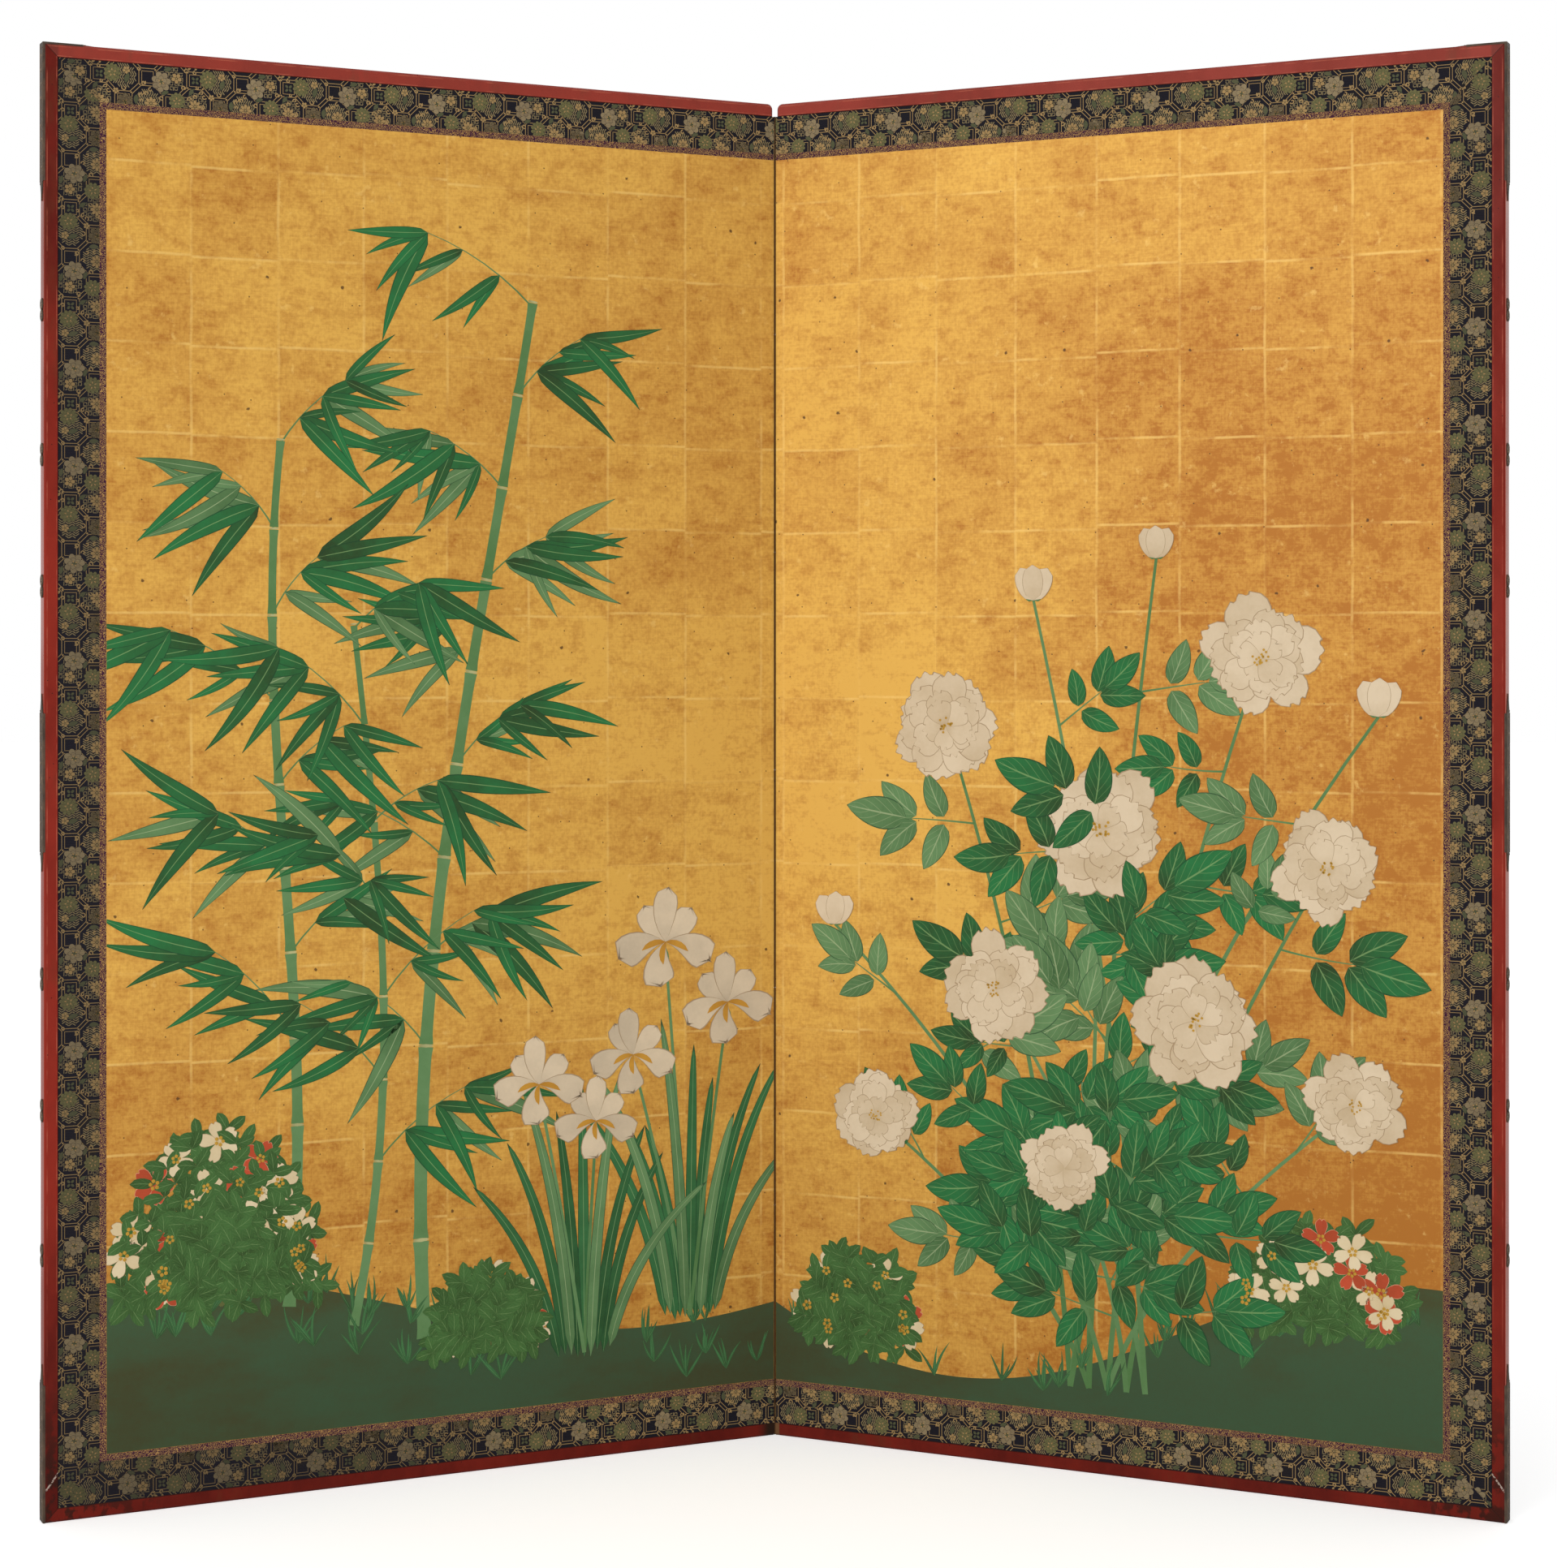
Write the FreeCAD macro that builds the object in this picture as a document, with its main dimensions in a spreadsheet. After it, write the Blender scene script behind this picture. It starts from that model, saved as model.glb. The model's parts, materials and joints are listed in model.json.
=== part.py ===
import FreeCAD, Part
import math
import os
import Sketcher

# Two-leaf folding screen. Row frame: +Z up, the picture faces -Y, the fold lies on x = 0.
# A leaf is drawn flat in its own frame: x from the fold outwards, y from back to front, z up.
# The left leaf is drawn and turned into place, and the right leaf is its mirror image.

SIZES = [
    ("leaf_height", 1710, "height of a leaf over its lacquered rails"),
    ("leaf_width", 930, "from the fold to the outer edge of the lacquered stile"),
    ("leaf_turn", 25, "angle of each leaf out of the flat, in degrees"),
    ("frame_face", 16, "width of the lacquered frame, seen from the front"),
    ("frame_depth", 22, "thickness of the lacquered frame, front to back"),
    ("frame_chamfer", 2.5, "chamfer on the outer edges of the frame"),
    ("frame_stand", 1, "how far the frame stands proud of the panel, front and back"),
    ("frame_arris", 0.6, "small chamfer on the inner edges of the frame"),
    ("rail_end_gap", 2.4, "from the fold to the ends of the top rails"),
    ("rail_end_round", 7, "round of the top rails' ends at the fold"),
    ("foot_end_gap", 0.3, "from the fold to the ends of the bottom rails"),
    ("axis_gap", 0.25, "from the frame's face to the line on which the leaf folds"),
    ("edge_gap", 0.6, "from the fold to the edge of the panel"),
    ("edge_paper", 0.4, "thickness of the paper over the fold edge"),
    ("surface_paper", 0.5, "thickness of picture, brocade and backing sheet"),
    ("underlay_paper", 1.5, "thickness of the layers of paper under them"),
    ("core_stile_width", 30, "width of the core's stiles"),
    ("core_rail_width", 30, "width of the core's rails"),
    ("lath_width", 15, "width of the core's laths"),
    ("upright_laths", 5, "number of upright laths"),
    ("level_laths", 10, "number of level laths"),
    ("tenon_length", 18, "length of the core rails' tenons"),
    ("tenon_width", 20, "height of the core rails' tenons"),
    ("tenon_thickness", 6, "thickness of the core rails' tenons"),
    ("joint_play", 0.1, "play round a tenon or a peg"),
    ("peg_side", 5, "side of the square pegs that hold the frame to the core"),
    ("peg_in_frame", 9, "how far a peg reaches into the frame"),
    ("peg_in_core", 14, "how far a peg reaches into the core"),
    ("border_width", 48, "width of the brocade border"),
    ("inner_border_width", 8, "width of the thin inner border"),
    ("strip_paper", 0.3, "thickness of the hinge strips"),
    ("strip_pairs", 3, "number of hinge strips of each kind"),
    ("strip_space", 0.6, "space between two hinge strips"),
    ("strip_foot", 1, "from the floor to the foot of the lowest hinge strip"),
    ("strip_end", 28, "how far a hinge strip's end lies on the panel"),
    ("strip_margin", 0.3, "from a hinge strip's web to the line on which it folds"),
    ("fitting_metal", 1.2, "thickness of the metal fittings"),
    ("fitting_lip", 1, "how far a fitting's lip stays back from the frame's face"),
    ("corner_leg", 182, "length of a corner fitting on the stile"),
    ("corner_arm", 68, "length of a corner fitting on the rail"),
    ("centre_length", 206, "length of the centre fitting"),
    ("tip_length", 20, "length of a fitting's pointed tip"),
    ("tip_width", 12, "width of a fitting's tip at its root"),
    ("cusp_radius", 3, "radius of the hollows beside a fitting's tip"),
    ("lobe_radius", 7, "radius of a small plate's lobes"),
    ("lobe_spacing", 13, "from lobe to lobe of a small plate"),
    ("overrun", 2, "how far a cut runs past the solid"),
]

# Places of the small plates up the outer edge, as shares of the leaf's height.
PLATE_HEIGHT_SHARES = (0.180, 0.278, 0.367, 0.633, 0.722, 0.820)

# Places of the pegs, as shares of the leaf's height up the stile and of its width along the rails.
STILE_PEG_SHARES = (0.08, 0.25, 0.42, 0.58, 0.75, 0.92)
RAIL_PEG_SHARES = (0.12, 0.38, 0.64, 0.9)

doc = FreeCAD.newDocument("folding_screen")
sheet = doc.addObject("Spreadsheet::Sheet", "Sizes")
for row, (alias, value, meaning) in enumerate(SIZES, start=1):
    sheet.set(f"A{row}", meaning)
    sheet.set(f"B{row}", str(value))
    sheet.setAlias(f"B{row}", alias)
doc.recompute()
start_value = {alias: value for alias, value, meaning in SIZES}

# Places across the leaf, from the fold outwards.
WIDTH = "Sizes.leaf_width"
EDGE = "Sizes.edge_gap"
PANEL_FOLD = f"({EDGE} + Sizes.edge_paper)"
PANEL_OUT = f"({WIDTH} - Sizes.frame_face)"
CORE_LEFT = f"({PANEL_FOLD} + Sizes.core_stile_width)"
CORE_RIGHT = f"({PANEL_OUT} - Sizes.core_stile_width)"
BORDER_IN = f"({PANEL_OUT} - Sizes.border_width)"
PICTURE_OUT = f"({BORDER_IN} - Sizes.inner_border_width)"
STRIP_IN = f"({PANEL_FOLD} + Sizes.strip_end)"

# Places up the leaf.
HEIGHT = "Sizes.leaf_height"
FOOT = "Sizes.frame_face"
TOP = f"({HEIGHT} - Sizes.frame_face)"
CORE_FOOT = f"({FOOT} + Sizes.core_rail_width)"
CORE_TOP = f"({TOP} - Sizes.core_rail_width)"
BORDER_FOOT = f"({FOOT} + Sizes.border_width)"
BORDER_TOP = f"({TOP} - Sizes.border_width)"
PICTURE_FOOT = f"({BORDER_FOOT} + Sizes.inner_border_width)"
PICTURE_TOP = f"({BORDER_TOP} - Sizes.inner_border_width)"

# Places through the leaf, from the line behind it on which it folds, to the one in front of it.
BACK = "Sizes.axis_gap"
FRONT = f"({BACK} + Sizes.frame_depth)"
FOLD_FRONT = f"({FRONT} + Sizes.axis_gap)"
MIDDLE = f"({BACK} + Sizes.frame_depth / 2)"
SHEET_BACK = f"({BACK} + Sizes.frame_stand)"
SHEET_FRONT = f"({FRONT} - Sizes.frame_stand)"
UNDER_BACK = f"({SHEET_BACK} + Sizes.surface_paper)"
UNDER_FRONT = f"({SHEET_FRONT} - Sizes.surface_paper)"
CORE_BACK = f"({UNDER_BACK} + Sizes.underlay_paper)"
CORE_FRONT = f"({UNDER_FRONT} - Sizes.underlay_paper)"

STRIP_BACK = f"({UNDER_BACK} + Sizes.strip_paper)"
STRIP_FRONT = f"({UNDER_FRONT} - Sizes.strip_paper)"
STRIP_NEAR = "Sizes.strip_margin"
STRIP_FAR = f"({FOLD_FRONT} - Sizes.strip_margin)"

CHAMFER = "Sizes.frame_chamfer"
ARRIS = "Sizes.frame_arris"
OVER = "Sizes.overrun"
METAL = "Sizes.fitting_metal"

made = {}


def origin_feature(body, role):
    """One of the body's own origin planes or axes."""
    return [feature for feature in body.Origin.OriginFeatures if feature.Role == role][0]


def new_body(label):
    """A body in the leaf's own frame, turned to where the left leaf stands."""
    body = doc.addObject("PartDesign::Body", label)
    body.Label = label
    body.AllowCompound = True
    body.Placement = FreeCAD.Placement(FreeCAD.Vector(), FreeCAD.Rotation(FreeCAD.Vector(0, 0, 1), 0))
    body.setExpression("Placement.Base.x", f"-sin(Sizes.leaf_turn) * {FOLD_FRONT}")
    body.setExpression(
        "Placement.Base.y",
        f"(sin(Sizes.leaf_turn) * {WIDTH} + cos(Sizes.leaf_turn) * {FOLD_FRONT}) / 2",
    )
    body.setExpression("Placement.Rotation.Angle", "180 + Sizes.leaf_turn")
    return body


def sketch_on(body, role, lift):
    """A sketch on an origin plane of the body, lifted along the plane's normal."""
    sketch = body.newObject("Sketcher::SketchObject", f"{body.Label}_sketch")
    sketch.AttachmentSupport = [(origin_feature(body, role), "")]
    sketch.MapMode = "FlatFace"
    sketch.setExpression("AttachmentOffset.Base.z", lift)
    return sketch


def place_point(sketch, geometry, point, across, up):
    """Ties one point of the sketch to two expressions."""
    for kind, axis, expression in (("DistanceX", -2, across), ("DistanceY", -1, up)):
        if expression == "0":
            sketch.addConstraint(Sketcher.Constraint("PointOnObject", geometry, point, axis))
        else:
            index = sketch.addConstraint(Sketcher.Constraint(kind, -1, 1, geometry, point, 1))
            sketch.setExpression(f"Constraints[{index}]", expression)


def outline(sketch, corners):
    """A closed outline of straight sides through corners, each given as two expressions."""
    count = len(corners)
    first = sketch.GeometryCount
    ring = [
        FreeCAD.Vector(math.cos(2 * math.pi * i / count), math.sin(2 * math.pi * i / count), 0)
        for i in range(count)
    ]
    for i in range(count):
        sketch.addGeometry(Part.LineSegment(ring[i], ring[(i + 1) % count]), False)
    for i in range(count):
        following = first + (i + 1) % count
        sketch.addConstraint(Sketcher.Constraint("Coincident", first + i, 2, following, 1))
    for i, (across, up) in enumerate(corners):
        place_point(sketch, first + i, 1, across, up)


def circle(sketch, across, up, radius):
    """A circle whose centre and radius are expressions."""
    start = Part.Circle(FreeCAD.Vector(), FreeCAD.Vector(0, 0, 1), 1)
    index = sketch.addGeometry(start, False)
    place_point(sketch, index, 3, across, up)
    bound = sketch.addConstraint(Sketcher.Constraint("Radius", index, 1))
    sketch.setExpression(f"Constraints[{bound}]", radius)


def pad(body, sketch, length, backwards=False):
    """Adds the sketch's outline to the body, by a length."""
    feature = body.newObject("PartDesign::Pad", f"{body.Label}_pad")
    feature.Profile = sketch
    feature.setExpression("Length", length)
    feature.Reversed = backwards
    body.Tip = feature
    doc.recompute()
    return feature


def pocket(body, sketch, length, backwards=False):
    """Cuts the sketch's outline out of the body, by a length, and makes sure that it cuts."""
    before = body.Shape.Volume
    feature = body.newObject("PartDesign::Pocket", f"{body.Label}_pocket")
    feature.Profile = sketch
    feature.setExpression("Length", length)
    feature.Reversed = backwards
    body.Tip = feature
    doc.recompute()
    if not body.Shape.Volume < before:
        raise RuntimeError(f"a pocket of {body.Label} cuts nothing")
    return feature


def repeat(body, features, role, length, count):
    """Repeats features along one of the body's axes, over a length."""
    feature = body.newObject("PartDesign::LinearPattern", f"{body.Label}_pattern")
    feature.Originals = features
    feature.Direction = (origin_feature(body, role), [""])
    feature.setExpression("Length", length)
    feature.setExpression("Occurrences", count)
    body.Tip = feature
    doc.recompute()
    return feature


def upright(body, corners, low, high):
    """A piece with a level section, from one height to another."""
    sketch = sketch_on(body, "XY_Plane", low)
    outline(sketch, corners)
    return pad(body, sketch, f"{high} - {low}")


def lengthwise(body, corners, start, end):
    """A piece with a section across the leaf, from the fold side to the outer side."""
    sketch = sketch_on(body, "YZ_Plane", start)
    outline(sketch, corners)
    return pad(body, sketch, f"{end} - {start}")


def flat(body, corners, back, front):
    """A flat piece with its outline seen from the front."""
    sketch = sketch_on(body, "XZ_Plane", f"-({back})")
    outline(sketch, corners)
    return pad(body, sketch, f"{front} - {back}", backwards=True)


def box(left, right, low, high):
    """The four corners of a rectangle."""
    return [(left, low), (right, low), (right, high), (left, high)]


def cut_through(body, corners):
    """Cuts an outline, seen from the front, through the body's whole depth."""
    sketch = sketch_on(body, "XZ_Plane", f"{OVER}")
    outline(sketch, corners)
    return pocket(body, sketch, f"{FOLD_FRONT} + 2 * {OVER}")


def finish(body):
    """Keeps a body of the left leaf, and its mirror image for the right leaf."""
    name = body.Label
    body.Label = f"left_{name}"
    made[body.Label] = body
    made[f"right_{name}"] = mirrored(body, f"right_{name}")


def mirrored(body, label):
    """The body's mirror image across the plane of the fold."""
    image = doc.addObject("Part::Mirroring", label)
    image.Label = label
    image.Source = body
    image.Normal = FreeCAD.Vector(1, 0, 0)
    image.Base = FreeCAD.Vector(0, 0, 0)
    return image


def mortise(up):
    """The outline of the hole for a core rail's tenon."""
    play = "Sizes.joint_play"
    half = f"(Sizes.tenon_thickness / 2 + {play})"
    tall = f"(Sizes.tenon_width / 2 + {play})"
    return box(f"{MIDDLE} - {half}", f"{MIDDLE} + {half}", f"{up} - {tall}", f"{up} + {tall}")


# Heights of the middles of the core's rails.
LOW_JOINT = f"({FOOT} + Sizes.core_rail_width / 2)"
HIGH_JOINT = f"({TOP} - Sizes.core_rail_width / 2)"


def peg_squares(body, role, lift, half):
    """A sketch of the pegs' sections, up the stile on an upright plane or along a rail on a level one."""
    sketch = sketch_on(body, role, lift)
    if role == "YZ_Plane":
        places = [(MIDDLE, f"{HEIGHT} * {share}") for share in STILE_PEG_SHARES]
    else:
        places = [(f"{WIDTH} * {share}", MIDDLE) for share in RAIL_PEG_SHARES]
    for across, up in places:
        outline(sketch, box(f"{across} - {half}", f"{across} + {half}", f"{up} - {half}", f"{up} + {half}"))
    return sketch


def peg_holes(body, role, face, depth, backwards):
    """Blind square holes for the pegs, from the face where the frame meets the core."""
    holes = peg_squares(body, role, face, "(Sizes.peg_side / 2 + Sizes.joint_play)")
    pocket(body, holes, depth, backwards)


def frame_pegs():
    """Hidden square pegs of wood between the core and the lacquered frame."""
    body = new_body("frame_pegs")
    length = "Sizes.peg_in_frame + Sizes.peg_in_core"
    places = (
        ("YZ_Plane", f"{PANEL_OUT} - Sizes.peg_in_core"),
        ("XY_Plane", f"{TOP} - Sizes.peg_in_core"),
        ("XY_Plane", f"{FOOT} - Sizes.peg_in_frame"),
    )
    for role, start in places:
        pad(body, peg_squares(body, role, start, "Sizes.peg_side / 2"), length)
    finish(body)


def core_stile(label, inner_side, left, right):
    """An upright of the core's outer frame, with a mortise at each end and, at the outer side, peg holes."""
    body = new_body(label)
    upright(body, box(left, right, CORE_BACK, CORE_FRONT), FOOT, TOP)
    depth = "Sizes.tenon_length + Sizes.joint_play"
    for up in (LOW_JOINT, HIGH_JOINT):
        sketch = sketch_on(body, "YZ_Plane", right if inner_side == "right" else left)
        outline(sketch, mortise(up))
        pocket(body, sketch, depth, backwards=inner_side == "left")
    if inner_side == "left":
        peg_holes(body, "YZ_Plane", PANEL_OUT, "Sizes.peg_in_core", False)
    finish(body)


def core_rail(label, low, high, middle, outer_face):
    """A level piece of the core's outer frame, with a tenon at each end and peg holes in its outer face."""
    body = new_body(label)
    lengthwise(body, box(CORE_BACK, CORE_FRONT, low, high), CORE_LEFT, CORE_RIGHT)
    half = "Sizes.tenon_thickness / 2"
    tall = "Sizes.tenon_width / 2"
    section = box(f"{MIDDLE} - {half}", f"{MIDDLE} + {half}", f"{middle} - {tall}", f"{middle} + {tall}")
    start = f"({CORE_LEFT} - Sizes.tenon_length)"
    end = f"({CORE_RIGHT} + Sizes.tenon_length)"
    lengthwise(body, section, start, end)
    peg_holes(body, "XY_Plane", outer_face, "Sizes.peg_in_core", outer_face == low)
    finish(body)


# Pitches of the laths between the core's stiles and rails.
UPRIGHT_PITCH = f"(({CORE_RIGHT} - {CORE_LEFT}) / (Sizes.upright_laths + 1))"
LEVEL_PITCH = f"(({CORE_TOP} - {CORE_FOOT}) / (Sizes.level_laths + 1))"
HALF_LATH = "Sizes.lath_width / 2"


def core_upright_laths():
    """The upright laths, notched in front where the level laths cross them."""
    body = new_body("core_upright_laths")
    middle = f"({CORE_LEFT} + {UPRIGHT_PITCH})"
    section = box(f"{middle} - {HALF_LATH}", f"{middle} + {HALF_LATH}", CORE_BACK, CORE_FRONT)
    lath = upright(body, section, CORE_FOOT, CORE_TOP)
    span = f"(Sizes.upright_laths - 1) * {UPRIGHT_PITCH}"
    repeat(body, [lath], "X_Axis", span, "Sizes.upright_laths")
    crossing = f"({CORE_FOOT} + {LEVEL_PITCH})"
    sketch = sketch_on(body, "XZ_Plane", f"-{MIDDLE}")
    notch = box(CORE_LEFT, CORE_RIGHT, f"{crossing} - {HALF_LATH}", f"{crossing} + {HALF_LATH}")
    outline(sketch, notch)
    lap = pocket(body, sketch, "Sizes.frame_depth")
    span = f"(Sizes.level_laths - 1) * {LEVEL_PITCH}"
    repeat(body, [lap], "Z_Axis", span, "Sizes.level_laths")
    finish(body)


def core_level_laths():
    """The level laths, notched behind where the upright laths cross them."""
    body = new_body("core_level_laths")
    middle = f"({CORE_FOOT} + {LEVEL_PITCH})"
    section = box(CORE_BACK, CORE_FRONT, f"{middle} - {HALF_LATH}", f"{middle} + {HALF_LATH}")
    lath = lengthwise(body, section, CORE_LEFT, CORE_RIGHT)
    span = f"(Sizes.level_laths - 1) * {LEVEL_PITCH}"
    repeat(body, [lath], "Z_Axis", span, "Sizes.level_laths")
    crossing = f"({CORE_LEFT} + {UPRIGHT_PITCH})"
    sketch = sketch_on(body, "XZ_Plane", f"-{MIDDLE}")
    notch = box(f"{crossing} - {HALF_LATH}", f"{crossing} + {HALF_LATH}", CORE_FOOT, CORE_TOP)
    outline(sketch, notch)
    lap = pocket(body, sketch, "Sizes.frame_depth", backwards=True)
    span = f"(Sizes.upright_laths - 1) * {UPRIGHT_PITCH}"
    repeat(body, [lap], "X_Axis", span, "Sizes.upright_laths")
    finish(body)


def underlay(label, outer_face, strip_face, inner_face):
    """Layers of paper over the core, thinner along the fold where the hinge strips' ends lie."""
    body = new_body(label)
    corners = [
        (PANEL_FOLD, strip_face),
        (STRIP_IN, strip_face),
        (STRIP_IN, outer_face),
        (PANEL_OUT, outer_face),
        (PANEL_OUT, inner_face),
        (PANEL_FOLD, inner_face),
    ]
    upright(body, corners, FOOT, TOP)
    finish(body)


def plain_sheet(label, left, right, low, high, back, front):
    """A rectangular sheet of paper, silk or leaf."""
    body = new_body(label)
    flat(body, box(left, right, low, high), back, front)
    finish(body)


def border(prefix, inner, outer, inner_low, inner_high, outer_low, outer_high):
    """Three strips round the picture, mitred at the outer corners, none along the fold."""
    strips = {
        "top": [(EDGE, inner_high), (inner, inner_high), (outer, outer_high), (EDGE, outer_high)],
        "side": [(inner, inner_low), (outer, outer_low), (outer, outer_high), (inner, inner_high)],
        "bottom": [(EDGE, outer_low), (outer, outer_low), (inner, inner_low), (EDGE, inner_low)],
    }
    for place, corners in strips.items():
        body = new_body(f"{prefix}_{place}")
        flat(body, corners, UNDER_FRONT, SHEET_FRONT)
        finish(body)


def edges_where(feature, test):
    """Names of the feature's edges that pass a test."""
    return [f"Edge{i}" for i, edge in enumerate(feature.Shape.Edges, start=1) if test(edge)]


def runs_along(edge, direction):
    """Whether an edge is straight and runs along a direction."""
    if not isinstance(edge.Curve, Part.Line):
        return False
    return abs(edge.Curve.Direction.dot(direction)) > ALONG_SHARE


# A straight edge counts as running along an axis from this share of its length on.
ALONG_SHARE = 0.999
ALONG_LEAF = FreeCAD.Vector(1, 0, 0)
THROUGH_LEAF = FreeCAD.Vector(0, 1, 0)
UP_LEAF = FreeCAD.Vector(0, 0, 1)


def dress(body, kind, base, edges, size, value):
    """A fillet or a chamfer on edges of the body's last feature."""
    feature = body.newObject(f"PartDesign::{kind}", f"{body.Label}_{kind.lower()}")
    feature.Base = (base, edges)
    feature.setExpression(size, value)
    body.Tip = feature
    doc.recompute()
    return feature


def outermost(feature, direction, towards):
    """The feature's straight edges along a direction that lie furthest towards another."""
    reach = max(v.Point.dot(towards) for v in feature.Shape.Vertexes)
    near = reach - start_value["joint_play"]

    def is_outer(edge):
        return runs_along(edge, direction) and edge.CenterOfMass.dot(towards) > near

    return edges_where(feature, is_outer)


def cut_sole(body):
    """Lets the bottom corner fitting's arm into the underside, so that the screen stands flat."""
    sketch = sketch_on(body, "XY_Plane", METAL)
    start = f"{WIDTH} - Sizes.corner_arm"
    outline(sketch, box(start, f"{WIDTH} + {OVER}", f"{BACK} + {CHAMFER}", f"{FRONT} - {CHAMFER}"))
    pocket(body, sketch, f"{METAL} + {OVER}")


def lacquered_stile():
    """The outer stile, mitred at the top and at the bottom, with chamfered edges and peg holes."""
    body = new_body("outer_stile")
    upright(body, box(PANEL_OUT, WIDTH, BACK, FRONT), "0", HEIGHT)
    short = f"{PANEL_OUT} - {OVER}"
    past = f"{WIDTH} + {OVER}"
    above = f"{HEIGHT} + {OVER}"
    below = f"-{OVER}"
    cut_through(body, [(short, f"{TOP} - {OVER}"), (past, above), (short, above)])
    mitred = cut_through(body, [(short, f"{FOOT} + {OVER}"), (short, below), (past, below)])
    edges = outermost(mitred, UP_LEAF, ALONG_LEAF)
    chamfered = dress(body, "Chamfer", mitred, edges, "Size", CHAMFER)
    edges = outermost(chamfered, UP_LEAF, -ALONG_LEAF)
    dress(body, "Chamfer", chamfered, edges, "Size", ARRIS)
    cut_sole(body)
    peg_holes(body, "YZ_Plane", PANEL_OUT, "Sizes.peg_in_frame", True)
    finish(body)


def lacquered_rail(label, inner, outer, outwards):
    """A rail, mitred at the stile, with chamfered edges and peg holes: the top one is rounded at the fold."""
    body = new_body(label)
    low, high = (inner, outer) if outwards.z > 0 else (outer, inner)
    start = "Sizes.rail_end_gap" if outwards.z > 0 else "Sizes.foot_end_gap"
    lengthwise(body, box(BACK, FRONT, low, high), start, WIDTH)
    sign = "+" if outwards.z > 0 else "-"
    back = "-" if outwards.z > 0 else "+"
    past = f"{WIDTH} + {OVER}"
    heel = (f"{PANEL_OUT} - {OVER}", f"{inner} {back} {OVER}")
    shaped = cut_through(body, [heel, (past, f"{outer} {sign} {OVER}"), (past, f"{inner} {back} {OVER}")])
    if outwards.z > 0:
        at_fold = outermost(shaped, THROUGH_LEAF, outwards - ALONG_LEAF)
        shaped = dress(body, "Fillet", shaped, at_fold, "Radius", "Sizes.rail_end_round")
    edges = outermost(shaped, ALONG_LEAF, outwards)
    chamfered = dress(body, "Chamfer", shaped, edges, "Size", CHAMFER)
    edges = outermost(chamfered, ALONG_LEAF, -outwards)
    dress(body, "Chamfer", chamfered, edges, "Size", ARRIS)
    if outwards.z < 0:
        cut_sole(body)
    peg_holes(body, "XY_Plane", inner, "Sizes.peg_in_frame", outwards.z > 0)
    finish(body)


def fitting_section():
    """A fitting's section: a web on the stile's edge, with lips over the chamfers."""
    slant = f"{METAL} * sqrt(2)"
    lip = "Sizes.fitting_lip"
    inner = f"{WIDTH} - {CHAMFER} + {lip}"
    corner = f"{CHAMFER} - {slant} + {METAL}"
    return [
        (WIDTH, f"{FRONT} - {CHAMFER}"),
        (inner, f"{FRONT} - {lip}"),
        (f"{inner} + {slant}", f"{FRONT} - {lip}"),
        (f"{WIDTH} + {METAL}", f"{FRONT} - ({corner})"),
        (f"{WIDTH} + {METAL}", f"{BACK} + {corner}"),
        (f"{inner} + {slant}", f"{BACK} + {lip}"),
        (inner, f"{BACK} + {lip}"),
        (WIDTH, f"{BACK} + {CHAMFER}"),
    ]


def pointed_end(body, role, tip, inwards, swap):
    """Cuts a fitting's end to a pointed tip between two hollows."""
    lift = f"{WIDTH} + {METAL} + {OVER}" if role == "YZ_Plane" else f"{HEIGHT} + {METAL} + {OVER}"
    depth = f"{METAL} + {CHAMFER} + 2 * {OVER}"
    root = f"{tip} {inwards} Sizes.tip_length"
    outwards = "-" if inwards == "+" else "+"
    past = f"{tip} {outwards} {OVER}"
    half = "Sizes.tip_width / 2"
    corners = [
        (f"{FRONT} + {OVER}", past),
        (f"{FRONT} + {OVER}", root),
        (f"{MIDDLE} + {half}", root),
        (MIDDLE, tip),
        (f"{MIDDLE} - {half}", root),
        (f"{BACK} - {OVER}", root),
        (f"{BACK} - {OVER}", past),
    ]
    if swap:
        corners = [(along, depth_place) for depth_place, along in corners]
    sketch = sketch_on(body, role, lift)
    outline(sketch, corners)
    pocket(body, sketch, depth)
    hollows = sketch_on(body, role, lift)
    reach = f"{half} + Sizes.cusp_radius"
    for centre in (f"{MIDDLE} + {reach}", f"{MIDDLE} - ({reach})"):
        place = (root, centre) if swap else (centre, root)
        circle(hollows, *place, "Sizes.cusp_radius")
    pocket(body, hollows, depth)


def top_corner_fitting():
    """A metal channel bent round the leaf's top corner, pointed at both ends."""
    body = new_body("top_corner_fitting")
    foot = f"({HEIGHT} - Sizes.corner_leg)"
    end = f"({WIDTH} - Sizes.corner_arm)"
    section = sketch_on(body, "XY_Plane", foot)
    outline(section, fitting_section())
    path = sketch_on(body, "XZ_Plane", f"-{MIDDLE}")
    bent_path(path, [(WIDTH, foot), (WIDTH, HEIGHT), (end, HEIGHT)])
    pipe = body.newObject("PartDesign::AdditivePipe", "top_corner_fitting_pipe")
    pipe.Profile = section
    pipe.Spine = (path, ["Edge1", "Edge2"])
    pipe.Transition = "Right corner"
    body.Tip = pipe
    doc.recompute()
    pointed_end(body, "YZ_Plane", foot, "+", False)
    pointed_end(body, "XY_Plane", end, "+", True)
    finish(body)


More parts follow.
